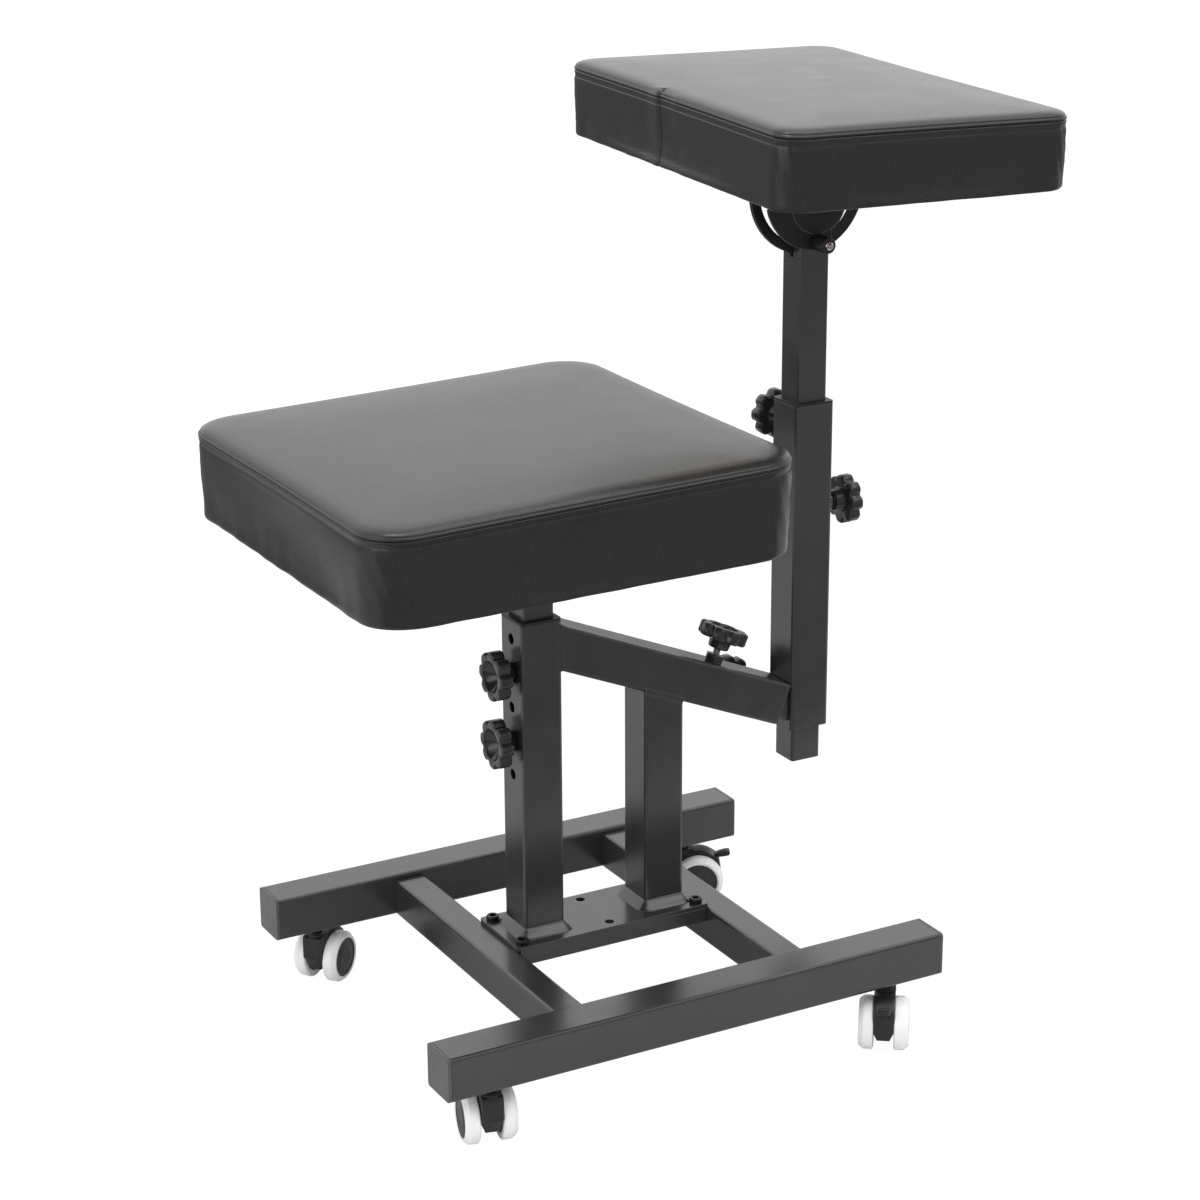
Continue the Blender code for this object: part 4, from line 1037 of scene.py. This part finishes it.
def groundWelds(values):
    # filled over the tubes' rounded corners and ground flush
    half, slope = values["tube"] / 2, math.radians(values["slope"])
    seatX, postX = (footOf(name).x for name in ("seat_outer_tube", "support_post"))
    rise = half / math.cos(slope)
    middle = values["top"] - rise
    bottom = [middle - (x - seatX - half) * math.tan(slope) - rise for x in (postX - half, postX + half)]
    back, end = 0.0012, 0.0005      # how far a weld lies in from the corner, and stops short of its ends
    lines = [((seatX + half - back, middle - rise + end), (seatX + half - back, middle + rise - end)),
             ((postX - half + end, bottom[0] + back), (postX + half - end, bottom[1] + back))]
    parts = []
    for side in (-1, 1):
        for first, last in lines:
            first, last = Vector(first), Vector(last)
            along = (last - first).normalized()
            across = Vector((along.y, -along.x)) * side
            rings = []
            for k in range(9):
                spot = first.lerp(last, k / 8)
                rings.append([(spot.x + across.x * step, side * (half + lift), spot.y + across.y * step)
                              for step, lift in values["section"]])
            parts.append(loft(rings))
    fill = shaped("groundWelds", merged(*parts), coat)
    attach(fill, "base")


groundWelds({"tube": 0.042, "slope": 22.7, "top": 0.411, "section": (
    (-0.0034, -0.0004), (-0.0034, 0.00003), (-0.0017, 0.00015), (0.0, 0.00020), (0.0017, 0.00015),
    (0.0034, 0.00003), (0.0034, -0.0004))})
footWelds({"tube": 0.042, "bead": {"Pitch": 0.0019, "Length": 0.0036, "Width": 0.0052, "Height": 0.0046},
           "fillet": ((-0.001, -0.0005), (0.0086, -0.0005), (0.0086, 0.0001), (0.0078, 0.0004),
                      (0.0068, 0.0014), (0.0055, 0.0028), (0.0042, 0.0042), (0.0028, 0.0055),
                      (0.0014, 0.0068), (0.0004, 0.0078), (0.0001, 0.0086), (-0.001, 0.0086))})
print("welds laid")


# Stage, light and camera

def seenRay(tree, *kinds):
    # 1 for rays of these kinds, from the light path
    path = tree.nodes.new("ShaderNodeLightPath").outputs
    found = path[kinds[0]]
    for kind in kinds[1:]:
        found = addNode(tree, "ShaderNodeMath", {0: found, 1: path[kind]},
                        operation="MAXIMUM").outputs["Value"]
    return found


def mixShaders(tree, factor, first, second):
    return addNode(tree, "ShaderNodeMixShader", {0: factor, 1: first, 2: second}).outputs["Shader"]


def alongY(tree, coords, low, high, start, stop):
    where = tree.nodes.new("ShaderNodeTexCoord").outputs[coords]
    split = addNode(tree, "ShaderNodeSeparateXYZ", {"Vector": where})
    return spread(tree, split.outputs["Y"], low, high, start, stop)


stageLook = {"floorSize": 40, "floor": 0.80, "glow": 1.10, "cameraShare": 0.87, "ambient": 0.95,
             "mirrorReach": 1.6, "mirrorStops": ((-1.3, 0.27), (-0.95, 0.14), (-0.62, 0.05), (-0.46, 0.56),
                                                 (1.15, 0.56), (1.55, 0.25)),
             "frontMirror": 0.45, "backMirror": 1.2, "mirrorFade": (-0.6, 0.3)}
plainWhite = (1.0, 1.0, 1.0, 1.0)
wide, reach = stageLook["floorSize"], stageLook["mirrorReach"]
floorMesh = bpy.data.meshes.new("floor")
floorMesh.from_pydata([(-wide, -wide, 0), (wide, -wide, 0), (wide, wide, 0), (-wide, wide, 0)], [],
                      [(0, 1, 2, 3)])
paleFloor, tree, shader = newMaterial("paleFloor")
tree.nodes.remove(shader)
lit = addNode(tree, "ShaderNodeBsdfDiffuse", {"Color": (*(stageLook["floor"],) * 3, 1.0)})
glow = addNode(tree, "ShaderNodeEmission", {"Strength": stageLook["glow"]})
ramp = addNode(tree, "ShaderNodeValToRGB", {"Fac": alongY(tree, "Object", 0.0, 1.0, -reach, reach)})
stops = ramp.color_ramp.elements
for index, (distance, shade) in enumerate(stageLook["mirrorStops"]):
    place = (distance + reach) / (2 * reach)
    stop = stops[index] if index < 2 else stops.new(place)
    stop.position = place
    stop.color = (shade, shade, shade, 1.0)
# what polished faces see of the floor: pale under the stool, grey in front
fading = addNode(tree, "ShaderNodeBsdfDiffuse", {"Color": ramp.outputs["Color"]})
mirrored = seenRay(tree, "Is Glossy Ray", "Is Transmission Ray")
seen = addNode(tree, "ShaderNodeMath", {0: seenRay(tree, "Is Camera Ray"), 1: stageLook["cameraShare"]},
               operation="MULTIPLY").outputs["Value"]
surface = mixShaders(tree, mirrored, lit.outputs["BSDF"], fading.outputs["BSDF"])
surface = mixShaders(tree, seen, surface, glow.outputs["Emission"])
feed(tree, tree.nodes["Material Output"], {"Surface": surface})
floor = linked("floor", floorMesh, paleFloor)

world = bpy.data.worlds.new("studio")
scene.world = world
world.use_nodes = True
tree = world.node_tree
ambient = feed(tree, tree.nodes["Background"], {"Color": plainWhite, "Strength": stageLook["ambient"]})
white = addNode(tree, "ShaderNodeBackground", {"Color": plainWhite, "Strength": 1.0})
mirror = addNode(tree, "ShaderNodeBackground", {
    "Color": plainWhite, "Strength": alongY(tree, "Generated", stageLook["frontMirror"],
                                            stageLook["backMirror"], *stageLook["mirrorFade"])})
glossy = seenRay(tree, "Is Glossy Ray", "Is Transmission Ray")
sky = mixShaders(tree, glossy, ambient.outputs["Background"], mirror.outputs["Background"])
sky = mixShaders(tree, seenRay(tree, "Is Camera Ray"), sky, white.outputs["Background"])
feed(tree, tree.nodes["World Output"], {"Surface": sky})


def softLight(name, place, aim, size, power):
    lamp = bpy.data.lights.new(name, "AREA")
    lamp.shape = "RECTANGLE"
    lamp.size, lamp.size_y = size
    lamp.energy = power
    holder = bpy.data.objects.new(name, lamp)
    scene.collection.objects.link(holder)
    holder.location = place
    holder.rotation_euler = (Vector(aim) - Vector(place)).to_track_quat("-Z", "Y").to_euler()


softLight("overhead", (0.4, -0.7, 2.4), (0, -0.2, 0.3), (2.4, 2.4), 28)
softLight("leftSide", (-2.6, -0.6, 1.2), (0, 0, 0.45), (1.6, 1.6), 12)
softLight("cornerGlint", (-0.55, 0.15, 2.5), (-0.1, 0, 0.5), (0.5, 0.5), 8)

view = {"target": (0.21180, 0.43790, 0.2500), "distance": 3.28233, "azimuth": -28.876, "elevation": 18.819,
        "roll": -0.297, "lens": 88.94, "sensor": 36.0}
azimuth, elevation, roll = (math.radians(view[key]) for key in ("azimuth", "elevation", "roll"))
level = math.cos(elevation)
back = Vector((math.sin(azimuth) * level, -math.cos(azimuth) * level, math.sin(elevation)))
right = Vector((math.cos(azimuth), math.sin(azimuth), 0.0))
up = back.cross(right)
turnedRight = right * math.cos(roll) + up * math.sin(roll)
turnedUp = up * math.cos(roll) - right * math.sin(roll)
eye = bpy.data.cameras.new("camera")
eye.lens = view["lens"]
eye.sensor_width = view["sensor"]
camera = bpy.data.objects.new("camera", eye)
scene.collection.objects.link(camera)
camera.matrix_world = Matrix.Translation(Vector(view["target"]) + back * view["distance"]) @ Matrix(
    (turnedRight, turnedUp, back)).transposed().to_4x4()
scene.camera = camera
scene.view_settings.view_transform = "Standard"
print("stage set")
